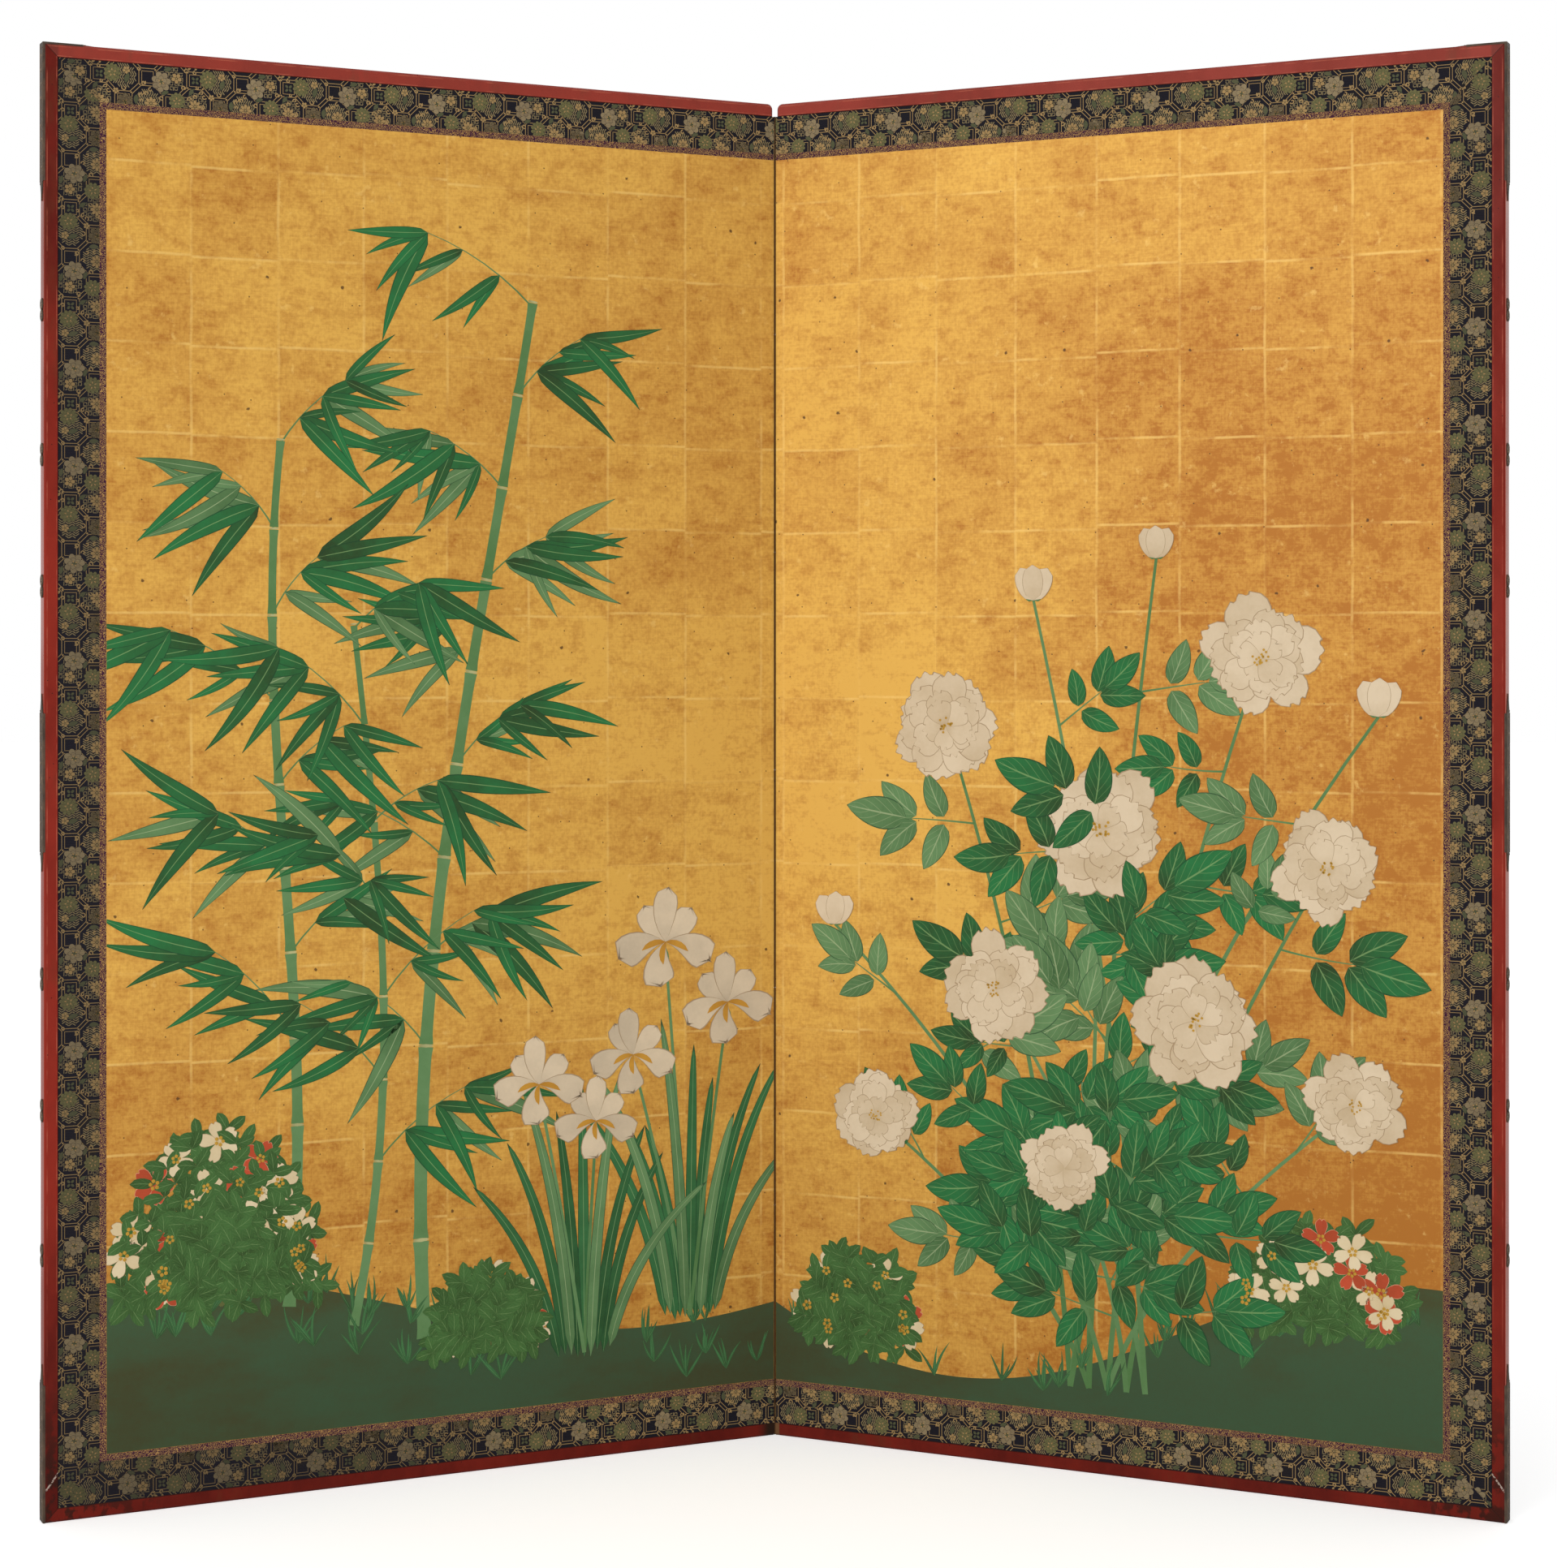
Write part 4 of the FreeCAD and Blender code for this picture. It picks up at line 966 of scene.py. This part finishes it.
class SCREEN_OT_weave_brocade(bpy.types.Operator):
    """Weaves the brocade borders: their ground, lattice, flowers and leaves"""

    bl_idname = "folding_screen.weave_brocade"
    bl_label = "Brocade borders"

    def execute(self, context):
        line = sizes().thread_line / MM
        tiles = {}
        for level in (False, True):
            works = new_works("fret", "lattice", "sage", "grey", "small", "leaf")
            lattice(works["lattice"], line)
            fills(works["fret"], line)
            figures(works, level)
            for kind, work in works.items():
                tiles.setdefault(kind, []).append(mesh_of(work, f"tile_{kind}"))
        tones = colours()
        for side in SIDES:
            ground = brocade_ground(side)
            silk = inner_border_silk(side)
            for place in ("top", "side", "bottom"):
                dress(f"{side}_brocade_{place}", ground)
                dress(f"{side}_inner_border_{place}", silk)
            materials = {
                "fret": thread("fret_thread", "#857552", "#665a40", side, 0),
                "lattice": thread("lattice_thread", tones.thread_gold, "#846c48", side, 0),
                "sage": thread("sage_blossom_thread", tones.thread_sage, "#706b45", side, 0.05),
                "grey": thread("grey_blossom_thread", tones.thread_grey, "#6a5b46", side, 0.05),
                "small": thread("small_flower_thread", tones.thread_gold, "#7c6240", side, 0.06),
                "leaf": thread("leaf_thread", tones.thread_leaf, "#5f5b41", side, 0.05),
            }
            weave(side, tiles, materials)
        for tile in sum(tiles.values(), []):
            bpy.data.meshes.remove(tile)
        return {"FINISHED"}


def bank(work, crest):
    """A bank of earth: its top follows a path, its foot the picture's lower edge."""
    foot = picture_low.z
    made = bmesh.ops.create_grid(work, x_segments=48, y_segments=3, size=0.5, calc_uvs=True)["verts"]
    for vertex in made:
        top = along(crest, min(max(vertex.co.x + 0.5, 0.0), 1.0))
        vertex.co = (top.x, 0.02, foot + (top.y - foot) * (vertex.co.y + 0.5))


class SCREEN_OT_paint_banks(bpy.types.Operator):
    """Paints the mossy banks along the foot of the picture"""

    bl_idname = "folding_screen.paint_banks"
    bl_label = "Painted banks"

    def execute(self, context):
        moss = moss_pigment("moss_green_pigment")
        grass = pigment("grass_pigment", "#3f7043", "#33502f", "#8fae78", veins=1)
        crests = {
            "left": [(860, 262), (700, 300), (520, 225), (330, 120), (140, 150), (0, 172)],
            "right": [(0, 172), (200, 60), (420, 40), (560, 240), (700, 270), (860, 262)],
        }
        tufts, least_height = 34, 15
        for side in SIDES:
            rng = random.Random(31)
            crest = [Vector(point) for point in crests[side]]
            work, blades = new_work(), new_work()
            bank(work, crest)
            hang_paint(f"{side}_mossy_bank", work, side, moss)
            for _ in range(tufts):
                foot = along(crest, rng.uniform(0.02, 0.98)) - Vector((0, rng.choice((3, 3, 20, 45, 70))))
                if foot.y < picture_low.z + least_height:
                    continue
                for _ in range(rng.choice((4, 5, 6))):
                    reach = rng.uniform(22, 52)
                    path = heading(foot, 90 + rng.uniform(-42, 42), reach, rng.uniform(-0.16, 0.16))
                    stroke(blades, path, taper(3.6, 0.3, 0.8), 0.05, 6, 2, rng.random())
            hang_paint(f"{side}_bank_grass", blades, side, grass)
        return {"FINISHED"}


def bamboo_culm(works, path, width, joints):
    """A culm of this many lengths between joints, narrowing upwards."""
    for number in range(joints):
        near, far = number / joints, (number + 1) / joints
        low, middle, high = (along(path, near + (far - near) * share) for share in (0.015, 0.5, 0.985))
        girth = width * (1 - 0.4 * near)
        part = [low, middle * 2 - (low + high) / 2, high]
        swelling = lambda share: girth * (1 + 0.22 * abs(2 * share - 1) ** 8)
        stroke(works["culm"], part, swelling, 0.06, 10, 2, near)
        ahead = high - low
        turn = math.atan2(ahead.y, ahead.x) + math.pi / 2
        disc(works["joint"], along(path, far), girth * 0.62, 0.1, 8, 0.22, turn)


def bamboo_spray(works, spot, angle, leaves, length, rng):
    """A spray of lance leaves fanned about an angle."""
    for number in range(leaves):
        turn = angle + (number - (leaves - 1) / 2) * 24 + rng.uniform(-10, 10)
        reach = length * rng.uniform(0.55, 1.2)
        path = heading(spot, turn, reach, rng.uniform(-0.1, 0.1))
        kind = "deep" if rng.random() < 0.68 else "pale"
        stroke(works[kind], path, taper(reach * 0.145, 0.45, 1.0), 0.12, 12, 4, rng.random())


def twig(works, start, angle, length, bend, girth=2.2):
    """A thin shoot; returns its path."""
    path = heading(start, angle, length, bend)
    stroke(works["stem"], path, lambda share: girth * (1 - 0.6 * share), 0.07, 6, 1)
    return path


def iris(works, centre, size, rng):
    """An iris seen from the side: three upright petals, three falling ones and their gold tongues."""
    for angle, share in ((128, 0.8), (52, 0.8), (90, 1.0)):
        path = heading(centre, angle + rng.uniform(-7, 7), size * 0.62 * share, 0.1 if angle > 90 else -0.1)
        stroke(works["petal"], path, taper(size * 0.3, 0.9, 0.45), 0.4, 8, 6, rng.random(), size * 0.02)
    for angle, share in ((200, 1.0), (-20, 1.0), (-88, 0.85)):
        path = heading(centre, angle + rng.uniform(-7, 7), size * 0.6 * share, -0.22 if angle > 90 else 0.22)
        stroke(works["petal"], path, taper(size * 0.38, 1.1, 0.35), 0.5, 8, 6, rng.random(), size * 0.03)
        tongue = [path[0], path[0].lerp(path[1], 0.5), path[0].lerp(path[2], 0.5)]
        stroke(works["tongue"], tongue, taper(size * 0.07, 0.7, 0.7), 0.75, 5, 2)


def iris_clump(works, base, blades, flowers, rng):
    """Upright sword leaves fanned from one base, with iris stalks among them."""
    base = Vector(base)
    for number in range(blades):
        lean = (number / (blades - 1) - 0.5) * 2
        start = base + Vector((lean * 34, rng.uniform(-6, 6)))
        rise = rng.uniform(250, 420) * (1 - 0.25 * abs(lean))
        drift = lean * 120 + rng.uniform(-14, 14)
        path = [start, start + Vector((drift * 0.2, rise * 0.6)), start + Vector((drift, rise))]
        kind = "blade" if number % 3 else "pale"
        stroke(works[kind], path, taper(15, 0.16, 0.42), 0.16, 16, 4, rng.random())
    for across, up, size in flowers:
        tip = Vector((across, up))
        stalk = [base, base.lerp(tip, 0.5) + Vector((0, 20)), tip - Vector((0, size * 0.1))]
        stroke(works["stem"], stalk, lambda share: 5 - 1.5 * share, 0.2, 12, 2, rng.random())
        sheath = heading(tip - Vector((0, size * 0.42)), 90, size * 0.36)
        stroke(works["stem"], sheath, taper(11, 0.5, 0.6), 0.3, 6, 2)
        iris(works, tip, size, rng)


class SCREEN_OT_paint_bamboo(bpy.types.Operator):
    """Paints the bamboo and the irises on the left leaf"""

    bl_idname = "folding_screen.paint_bamboo"
    bl_label = "Painted bamboo and irises"

    def execute(self, context):
        rng = random.Random(11)
        works = new_works("culm", "joint", "stem", "deep", "pale", "blade", "petal", "tongue")
        culms = (
            ([(470, 168), (500, 620), (400, 1010), (330, 1440)], 17, 11),
            ([(640, 222), (600, 600), (690, 900), (650, 1260)], 14, 10),
            ([(560, 192), (500, 460), (520, 700), (560, 1040)], 11, 8),
        )
        for points, width, joints in culms:
            path = [Vector(point) for point in points]
            bamboo_culm(works, path, width, joints)
            for number in range(joints // 3, joints + 1):
                spot = along(path, min(number / joints, 0.995))
                outward = 1 if number % 2 else -1
                angle = 90 - outward * rng.uniform(38, 62)
                shoot = twig(works, spot, angle, rng.uniform(80, 160), outward * 0.12)
                for share in (0.35, 0.7, 1.0):
                    hanging = angle - outward * rng.uniform(30, 80)
                    bamboo_spray(works, along(shoot, share), hanging, rng.choice((2, 3, 4)), 128, rng)
        iris_clump(works, (118, 165), 11, ((66, 560, 104), (152, 640, 112), (196, 500, 96)), rng)
        iris_clump(works, (262, 132), 9, ((246, 420, 92), (322, 470, 98)), rng)
        tones = colours()
        edge = {"outline": 0.07, "outline_colour": "#20402a"}
        deep = pigment("malachite_leaf_pigment", tones.green_deep, "#2f4527", "#86a76b", 1, **edge)
        pale = pigment("pale_malachite_leaf_pigment", tones.green_pale, "#48683f", "#a9b98a", 1, **edge)
        stem = pigment("stem_pigment", tones.green_pale, "#4f7443", "#a3b183")
        joint = pigment("joint_pigment", "#c0bb86", "#7b7b4c", "#a3b183")
        blade = pigment("iris_blade_pigment", "#3a6f42", "#2b4f2c", "#8fae78", 1, **edge)
        petal = pigment("iris_white_pigment", tones.shell_white, "#b7a68d", "#b89a78", outline=0.05)
        tongue = pigment("iris_tongue_pigment", "#c9953a", "#a8742a", "#e0bd6a")
        for kind, name, material in (
            ("culm", "bamboo_culms", stem), ("joint", "bamboo_joints", joint), ("stem", "plant_stems", stem),
            ("deep", "bamboo_leaves_deep", deep), ("pale", "bamboo_leaves_pale", pale),
            ("blade", "iris_blades", blade), ("petal", "iris_petals", petal),
            ("tongue", "iris_tongues", tongue),
        ):
            hang_paint(f"left_{name}", works[kind], "left", material)
        return {"FINISHED"}


def peony(works, centre, size, rng):
    """A full peony seen from in front: rings of frilled petals round gold stamens."""
    turn = rng.uniform(0, 360)
    rings = ((7, 0.54, 0.45), (7, 0.45, 0.4), (6, 0.35, 0.34), (5, 0.24, 0.26))
    for petals, reach, breadth in rings:
        for number in range(petals):
            angle = turn + 360 * number / petals + rng.uniform(-10, 10)
            path = heading(centre, angle, size * reach * rng.uniform(0.86, 1.12), rng.uniform(-0.1, 0.1))
            broad = size * breadth * rng.uniform(0.85, 1.15)
            width = lambda share: broad * max(0.12, 1.22 * share ** 0.6 * (1 - 0.68 * share ** 6))
            stroke(works["petal"], path, width, 0.42, 9, 8, rng.random(), size * 0.026)
        turn += 27
    stamens = 16
    for _ in range(stamens):
        reach = size * 0.08 * math.sqrt(rng.random())
        disc(works["stamen"], centre + toward(rng.uniform(0, math.tau)) * reach, size * 0.012, 1.0, 6)


def peony_bud(works, centre, size, rng):
    """A bud held in its green cup."""
    for angle in (62, 118, 90):
        path = heading(centre, angle + rng.uniform(-5, 5), size)
        stroke(works["petal"], path, taper(size * 0.62, 0.5, 0.45), 0.42, 7, 4, rng.random())
    for angle in (40, 90, 140):
        stroke(works["stem"], heading(centre, angle, size * 0.5), taper(size * 0.24, 0.4, 0.8), 0.75, 6, 2)


def peony_leaf(works, spot, angle, size, kind, rng):
    """A compound leaf: a stalk with a pair of leaflets half way, another pair and one at its end."""
    stalk = twig(works, spot, angle, size * 1.15, rng.uniform(-0.08, 0.08), 2.6)
    leaflets = ((0.45, 62, 0.8), (0.45, -62, 0.8), (0.86, 40, 0.86), (0.86, -40, 0.86), (1.0, 0, 1.0))
    for share, off, scale in leaflets:
        reach = size * scale * rng.uniform(0.92, 1.1)
        turn = angle + off + rng.uniform(-8, 8)
        start = along(stalk, share) + toward(math.radians(turn)) * size * 0.07
        path = heading(start, turn, reach, rng.uniform(-0.1, 0.1))
        stroke(works[kind], path, taper(reach * 0.5, 0.55, 0.85), 0.1, 12, 6, rng.random())


class SCREEN_OT_paint_peonies(bpy.types.Operator):
    """Paints the white peonies on the right leaf"""

    bl_idname = "folding_screen.paint_peonies"
    bl_label = "Painted peonies"

    def execute(self, context):
        rng = random.Random(23)
        works = new_works("stem", "deep", "pale", "petal", "stamen")
        blossoms = (
            (236, 915, 132), (440, 790, 150), (640, 1000, 130), (722, 752, 122), (300, 588, 124),
            (560, 560, 140), (140, 420, 108), (754, 470, 110), (392, 372, 100),
        )
        buds = ((352, 1070, 44), (782, 930, 46), (510, 1120, 40), (84, 660, 42))
        for number, (across, up, size) in enumerate(blossoms + buds):
            tip = Vector((across, up))
            base = Vector((400 + 24 * (number % 5), 104))
            stalk = [base, base.lerp(tip, 0.45) + Vector(((base.x - tip.x) * 0.28, rng.uniform(0, 40))), tip]
            stroke(works["stem"], stalk, lambda share: 7 - 3.4 * share, 0.06, 16, 2, rng.random())
            for step, share in enumerate((0.3, 0.44, 0.57, 0.7, 0.85)):
                spot = along(stalk, share)
                outward = 1 if (step + number) % 2 else -1
                angle = 90 - outward * rng.uniform(30, 100)
                kind = "deep" if rng.random() < 0.66 else "pale"
                peony_leaf(works, spot, angle, rng.uniform(58, 84), kind, rng)
        for across, up, size in blossoms:
            peony(works, Vector((across, up)), size, rng)
        for across, up, size in buds:
            peony_bud(works, Vector((across, up)), size, rng)
        tones = colours()
        edge = {"outline": 0.05, "outline_colour": "#20402a"}
        deep = pigment("malachite_broad_leaf_pigment", tones.green_deep, "#2f4527", "#86a76b", 5, **edge)
        pale = pigment("pale_broad_leaf_pigment", tones.green_pale, "#48683f", "#a9b78a", 5, **edge)
        stem = pigment("peony_stem_pigment", tones.green_pale, "#4f7443", "#a3b183")
        petal = pigment("shell_white_pigment", tones.shell_white, "#bda684", "#b89a78", outline=0.03)
        stamen = pigment("gold_stamen_pigment", "#c79a3e", "#9c7427", "#e0bd6a")
        for kind, name, material in (
            ("stem", "peony_stems", stem), ("deep", "peony_leaves_deep", deep),
            ("pale", "peony_leaves_pale", pale), ("petal", "peony_petals", petal),
            ("stamen", "peony_stamens", stamen),
        ):
            hang_paint(f"right_{name}", works[kind], "right", material)
        return {"FINISHED"}


def azalea(work, stamens, centre, size, rng):
    """A five-petalled flower with a gold middle."""
    turn = rng.uniform(0, 72)
    for number in range(5):
        path = heading(centre, turn + 72 * number + rng.uniform(-4, 4), size * rng.uniform(0.46, 0.54))
        width = lambda share: size * 0.4 * max(0.15, 1.25 * share ** 0.7 * (1 - 0.65 * share ** 5))
        stroke(work, path, width, 0.42, 6, 4, rng.random(), -size * 0.03)
    for _, spot in wreath(centre, 5, size * 0.09, math.radians(turn + 36)):
        disc(stamens, spot, size * 0.05, 0.7, 6)


class SCREEN_OT_paint_azaleas(bpy.types.Operator):
    """Paints the low azaleas, white and red, on both leaves"""

    bl_idname = "folding_screen.paint_azaleas"
    bl_label = "Painted azaleas"

    def execute(self, context):
        leaf = pigment("azalea_leaf_pigment", "#456a38", "#334c26", "#7d9a63", veins=4)
        stem = pigment("azalea_stem_pigment", "#6c7347", "#55592f", "#a3b183")
        white = pigment("azalea_white_pigment", "#dccaa6", "#c7b084", "#b89a78", outline=0.05)
        red_edge = {"outline": 0.05, "outline_colour": "#e3a988"}
        red = pigment("cinnabar_pigment", colours().cinnabar, "#9c4428", "#e0a37c", **red_edge)
        gold = pigment("azalea_stamen_pigment", "#c79a3e", "#9c7427", "#e0bd6a")
        clumps = {
            "left": ((722, 232, 124, 215, 14, 8, 5), (392, 150, 74, 92, 6, 4, 6)),
            "right": ((716, 205, 104, 128, 8, 5, 7), (118, 128, 80, 122, 6, 5, 8)),
        }
        for side in SIDES:
            works = new_works("stem", "leaf", "white", "red", "stamen")
            for across, up, wide, tall, whites, reds, seed in clumps[side]:
                rng = random.Random(seed)
                base = Vector((across, up))
                flowers = whites + reds
                for number in range(flowers * 5):
                    angle = math.pi * rng.random()
                    reach = math.sqrt(rng.random()) * 0.98
                    spot = base + Vector((math.cos(angle) * wide, math.sin(angle) * tall)) * reach
                    turn = rng.uniform(0, 360)
                    for leaf_number in range(4):
                        path = heading(spot, turn + 84 * leaf_number, rng.uniform(20, 32), 0.06)
                        stroke(works["leaf"], path, taper(13, 0.6, 0.6), 0.08, 6, 2, rng.random())
                for number in range(flowers * 2):
                    angle = math.radians(90 + 78 * math.sin(2.4 * number + seed))
                    reach = 0.55 + 0.45 * ((number * 0.618) % 1)
                    tip = base + Vector((math.cos(angle) * wide, math.sin(angle) * tall)) * reach
                    stalk = [base, base.lerp(tip, 0.5) + Vector((0, tall * 0.12)), tip]
                    stroke(works["stem"], stalk, lambda share: 2.6 - 1.4 * share, 0.06, 7, 1)
                    for share in (0.4, 0.55, 0.7, 0.85, 1.0):
                        for outward in (-1, 1):
                            turn = math.degrees(angle) + outward * rng.uniform(35, 75)
                            path = heading(along(stalk, share), turn, rng.uniform(20, 30), 0.08)
                            stroke(works["leaf"], path, taper(13, 0.6, 0.6), 0.1, 5, 2, rng.random())
                    if number < flowers:
                        kind = "red" if number % 3 == 1 and number // 3 < reds else "white"
                        azalea(works[kind], works["stamen"], tip, rng.uniform(40, 50), rng)
            named = {"stem": stem, "leaf": leaf, "white": white, "red": red, "stamen": gold}
            for kind, material in named.items():
                hang_paint(f"{side}_azalea_{kind}", works[kind], side, material)
        return {"FINISHED"}


def scrollwork(work, low, high):
    """A winding stem with curls and two border lines, raised on a fitting from one height to another."""
    wave, half_width = 32.0, 4.2
    length = high - low

    def stem(share):
        up = low + length * share
        return Vector((half_width * math.sin(math.tau * up / wave), up))

    stroke(work, stem, 1.0, RELIEF, int(length / 2), 1)
    for across in (-7.6, 7.6):
        stroke(work, [Vector((across, low - 4)), Vector((across, high + 4))], 0.7, RELIEF, 1, 1)
    turns = int(length / wave * 2)
    for number in range(turns):
        hand = 1 if number % 2 else -1
        crest = low + (number + 0.75) * length / turns
        start = stem((crest - low) / length)
        stroke(work, spiral(start, 90, 2.9, hand), lambda share: 0.9 - 0.3 * share, RELIEF, 12, 1)
        stroke(work, heading(start, 90 - hand * 60, 5.0, 0.1), taper(2.2, 0.5, 0.8), RELIEF, 5, 2)


def nail(work, across, up):
    """A small domed nail head."""
    radius = sizes().nail_head / MM / 2
    matrix = Matrix.Translation((across, 0, up)) @ Matrix.Diagonal((1, 0.55, 1, 1))
    bmesh.ops.create_uvsphere(work, u_segments=12, v_segments=6, radius=radius, matrix=matrix)


def nail_pairs(work, heights):
    """A pair of nails at each height."""
    for up in heights:
        nail(work, -NAIL_ACROSS, up)
        nail(work, NAIL_ACROSS, up)


def plate_places():
    """Heights of the middles of the small plates' lobes."""
    to_leaf = LEAF["left"].inverted()
    radius = 7.0
    heights = sorted((to_leaf @ vertex.co).z for vertex in frame["nodes"]["left_small_plates"].data.vertices)
    plates = []
    for height in heights:
        if not plates or height > plates[-1][-1] + radius:
            plates.append([height])
        plates[-1].append(height)
    return [end + step for plate in plates for end, step in ((plate[0], radius), (plate[-1], -radius))]


class SCREEN_OT_fit_metalwork(bpy.types.Operator):
    """Finishes the fittings, chases their scrollwork and drives their nails"""

    bl_idname = "folding_screen.fit_metalwork"
    bl_label = "Fittings"

    def execute(self, context):
        copper = patinated_copper("patinated_copper", colours().metal, "#5b4a3c")
        relief = patinated_copper("rubbed_copper_scrollwork", "#6b5949", "#8a7663")
        nails = patinated_copper("copper_nails", "#4e4036", "#7a6857")
        tip, inset = 20.0, 6.0
        centre_low, centre_high = leaf_box("left_centre_fitting")
        foot_high = leaf_box("left_bottom_corner_fitting")[1]
        middle = (corner_low.y + corner_high.y) / 2
        # The stile's outer face and the rail's upper one, each laid out flat
        end, top = corner_high.x, corner_high.z
        on_stile = Matrix(((0, 1, 0, end), (-1, 0, 0, middle), (0, 0, 1, 0), (0, 0, 0, 1)))
        on_rail = Matrix(((0, 0, -1, end), (-1, 0, 0, middle), (0, 1, 0, top), (0, 0, 0, 1)))
        for side in SIDES:
            for part in ("top_corner_fitting", "centre_fitting", "bottom_corner_fitting", "small_plates"):
                dress(f"{side}_{part}", copper)
            scrolls, heads = new_work(), new_work()
            for low, high in (
                (corner_low.z + tip, corner_high.z - inset), (centre_low.z + tip, centre_high.z - tip),
                (inset, foot_high.z - tip),
            ):
                scrollwork(scrolls, low + inset, high - inset)
                nail_pairs(heads, (low, (low + high) / 2, high))
            for up in plate_places():
                for angle, spot in wreath((0, up), 6, 3.6):
                    disc(scrolls, spot, 1.6, RELIEF, 8, 0.7, angle)
                ring(scrolls, (0, up), 6.3, 0.5, RELIEF, 20, 0)
                nail(heads, 0, up)
            arm_scrolls, arm_heads = new_work(), new_work()
            arm_end = corner_high.x - corner_low.x - tip
            scrollwork(arm_scrolls, inset, arm_end - inset)
            nail_pairs(arm_heads, (inset, arm_end))
            face_front(scrolls)
            face_front(arm_scrolls)
            for name, work, arm, material, thickness in (
                ("scrollwork", scrolls, arm_scrolls, relief, RELIEF * MM),
                ("fitting_nails", heads, arm_heads, nails, None),
            ):
                work.transform(on_stile)
                arm.transform(on_rail)
                join_in(work, arm)
                hang(f"{side}_{name}", work, side, material, thickness)
        return {"FINISHED"}


class SCREEN_OT_set_stage(bpy.types.Operator):
    """Sets the floor, the lamps and the camera"""

    bl_idname = "folding_screen.set_stage"
    bl_label = "Floor, lamps and camera"

    def execute(self, context):
        context.scene.view_settings.view_transform = "Standard"
        set_floor()
        set_world(context.scene)
        set_lamps()
        set_camera(context.scene)
        return {"FINISHED"}


def set_floor():
    """A wide pale floor that keeps the screen's shadow and looks white to the camera."""
    half = 30.0
    work = bmesh.new()
    bmesh.ops.create_grid(work, x_segments=1, y_segments=1, size=half)
    floor = placed("floor", mesh_of(work, "floor"))
    material, tree = new_material("white_paper_floor", roughness=0.9)
    shader = tree.nodes["Principled BSDF"]
    shader.inputs["Base Color"].default_value = paint("#ececec")
    seen = add(tree, "LightPath").outputs["Is Camera Ray"]
    glow = add(tree, "Emission", {"Strength": 0.45})
    lit = add(tree, "AddShader", {0: shader, 1: glow})
    mixed = add(tree, "MixShader", {0: seen, 1: shader, 2: lit})
    tree.links.new(mixed.outputs[0], tree.nodes["Material Output"].inputs["Surface"])
    floor.data.materials.append(material)


def set_world(scene):
    """An even soft light, white where the camera or a reflection sees it."""
    world = bpy.data.worlds.new("studio")
    scene.world = world
    world.use_nodes = True
    tree = world.node_tree
    light = tree.nodes["Background"]
    light.inputs["Color"].default_value = (1, 1, 1, 1)
    light.inputs["Strength"].default_value = 0.72
    white = add(tree, "Background", {"Color": (1, 1, 1, 1), "Strength": 1.0})
    paths = add(tree, "LightPath")
    seen = strongest(tree, *(paths.outputs[f"Is {ray} Ray"] for ray in ("Camera", "Glossy", "Transmission")))
    mixed = add(tree, "MixShader", {0: seen, 1: light, 2: white})
    tree.links.new(mixed.outputs[0], tree.nodes["World Output"].inputs["Surface"])


def set_lamps():
    """Two wide soft lamps in front of the screen: one high at the left, one low before the fold."""
    aim = Vector((0, 0, 0.85))
    lamps = (("key_lamp", (-2.6, -4.2, 2.4), 75, 2.2), ("low_lamp", (0.2, -3.3, 0.6), 14, 1.4))
    for name, spot, watts, width in lamps:
        lamp = bpy.data.lights.new(name, "AREA")
        lamp.energy = watts
        lamp.size = width
        holder = placed(name, lamp)
        holder.location = spot
        holder.rotation_euler = (aim - holder.location).to_track_quat("-Z", "Y").to_euler()


def set_camera(scene):
    """The photograph's view: level, on the fold's plane, with the lens shifted to frame the screen."""
    picture_height_px = 1932
    focal_px = 3695
    sensor_mm = 36.0
    fold_px, middle_px = 954.5, 959
    horizon_px, level_px = 804.6, 966
    camera = bpy.data.cameras.new("camera")
    camera.sensor_width = sensor_mm
    camera.lens = sensor_mm * focal_px / picture_height_px
    camera.shift_x = (middle_px - fold_px) / picture_height_px
    camera.shift_y = (horizon_px - level_px) / picture_height_px
    camera.clip_end = 200
    holder = placed("camera", camera)
    holder.location = (0, -3.667, 1.005)
    holder.rotation_euler = (math.pi / 2, 0, 0)
    scene.camera = holder


class SCREEN_PT_panel(bpy.types.Panel):
    """Lists the steps, sizes and colours of the screen's finishes"""

    bl_label = "Folding Screen"
    bl_space_type = "VIEW_3D"
    bl_region_type = "UI"
    bl_category = "Folding Screen"

    def draw(self, context):
        for step in STEPS:
            self.layout.operator(step.bl_idname)
        for group in (context.scene.screen_sizes, context.scene.screen_colours):
            box = self.layout.box()
            for name in group.__annotations__:
                box.prop(group, name)


STEPS = (
    SCREEN_OT_finish_core,
    SCREEN_OT_lay_gold_leaf,
    SCREEN_OT_lacquer_frames,
    SCREEN_OT_weave_brocade,
    SCREEN_OT_paint_banks,
    SCREEN_OT_paint_bamboo,
    SCREEN_OT_paint_peonies,
    SCREEN_OT_paint_azaleas,
    SCREEN_OT_fit_metalwork,
    SCREEN_OT_set_stage,
)
CLASSES = (ScreenSizes, ScreenColours, *STEPS, SCREEN_PT_panel)


def register():
    for made in CLASSES:
        bpy.utils.register_class(made)
    bpy.types.Scene.screen_sizes = bpy.props.PointerProperty(type=ScreenSizes)
    bpy.types.Scene.screen_colours = bpy.props.PointerProperty(type=ScreenColours)


def unregister():
    del bpy.types.Scene.screen_colours
    del bpy.types.Scene.screen_sizes
    for made in reversed(CLASSES):
        bpy.utils.unregister_class(made)


def main():
    register()
    for step in STEPS:
        group, name = step.bl_idname.split(".")
        getattr(getattr(bpy.ops, group), name)()


if __name__ == "__main__":
    main()
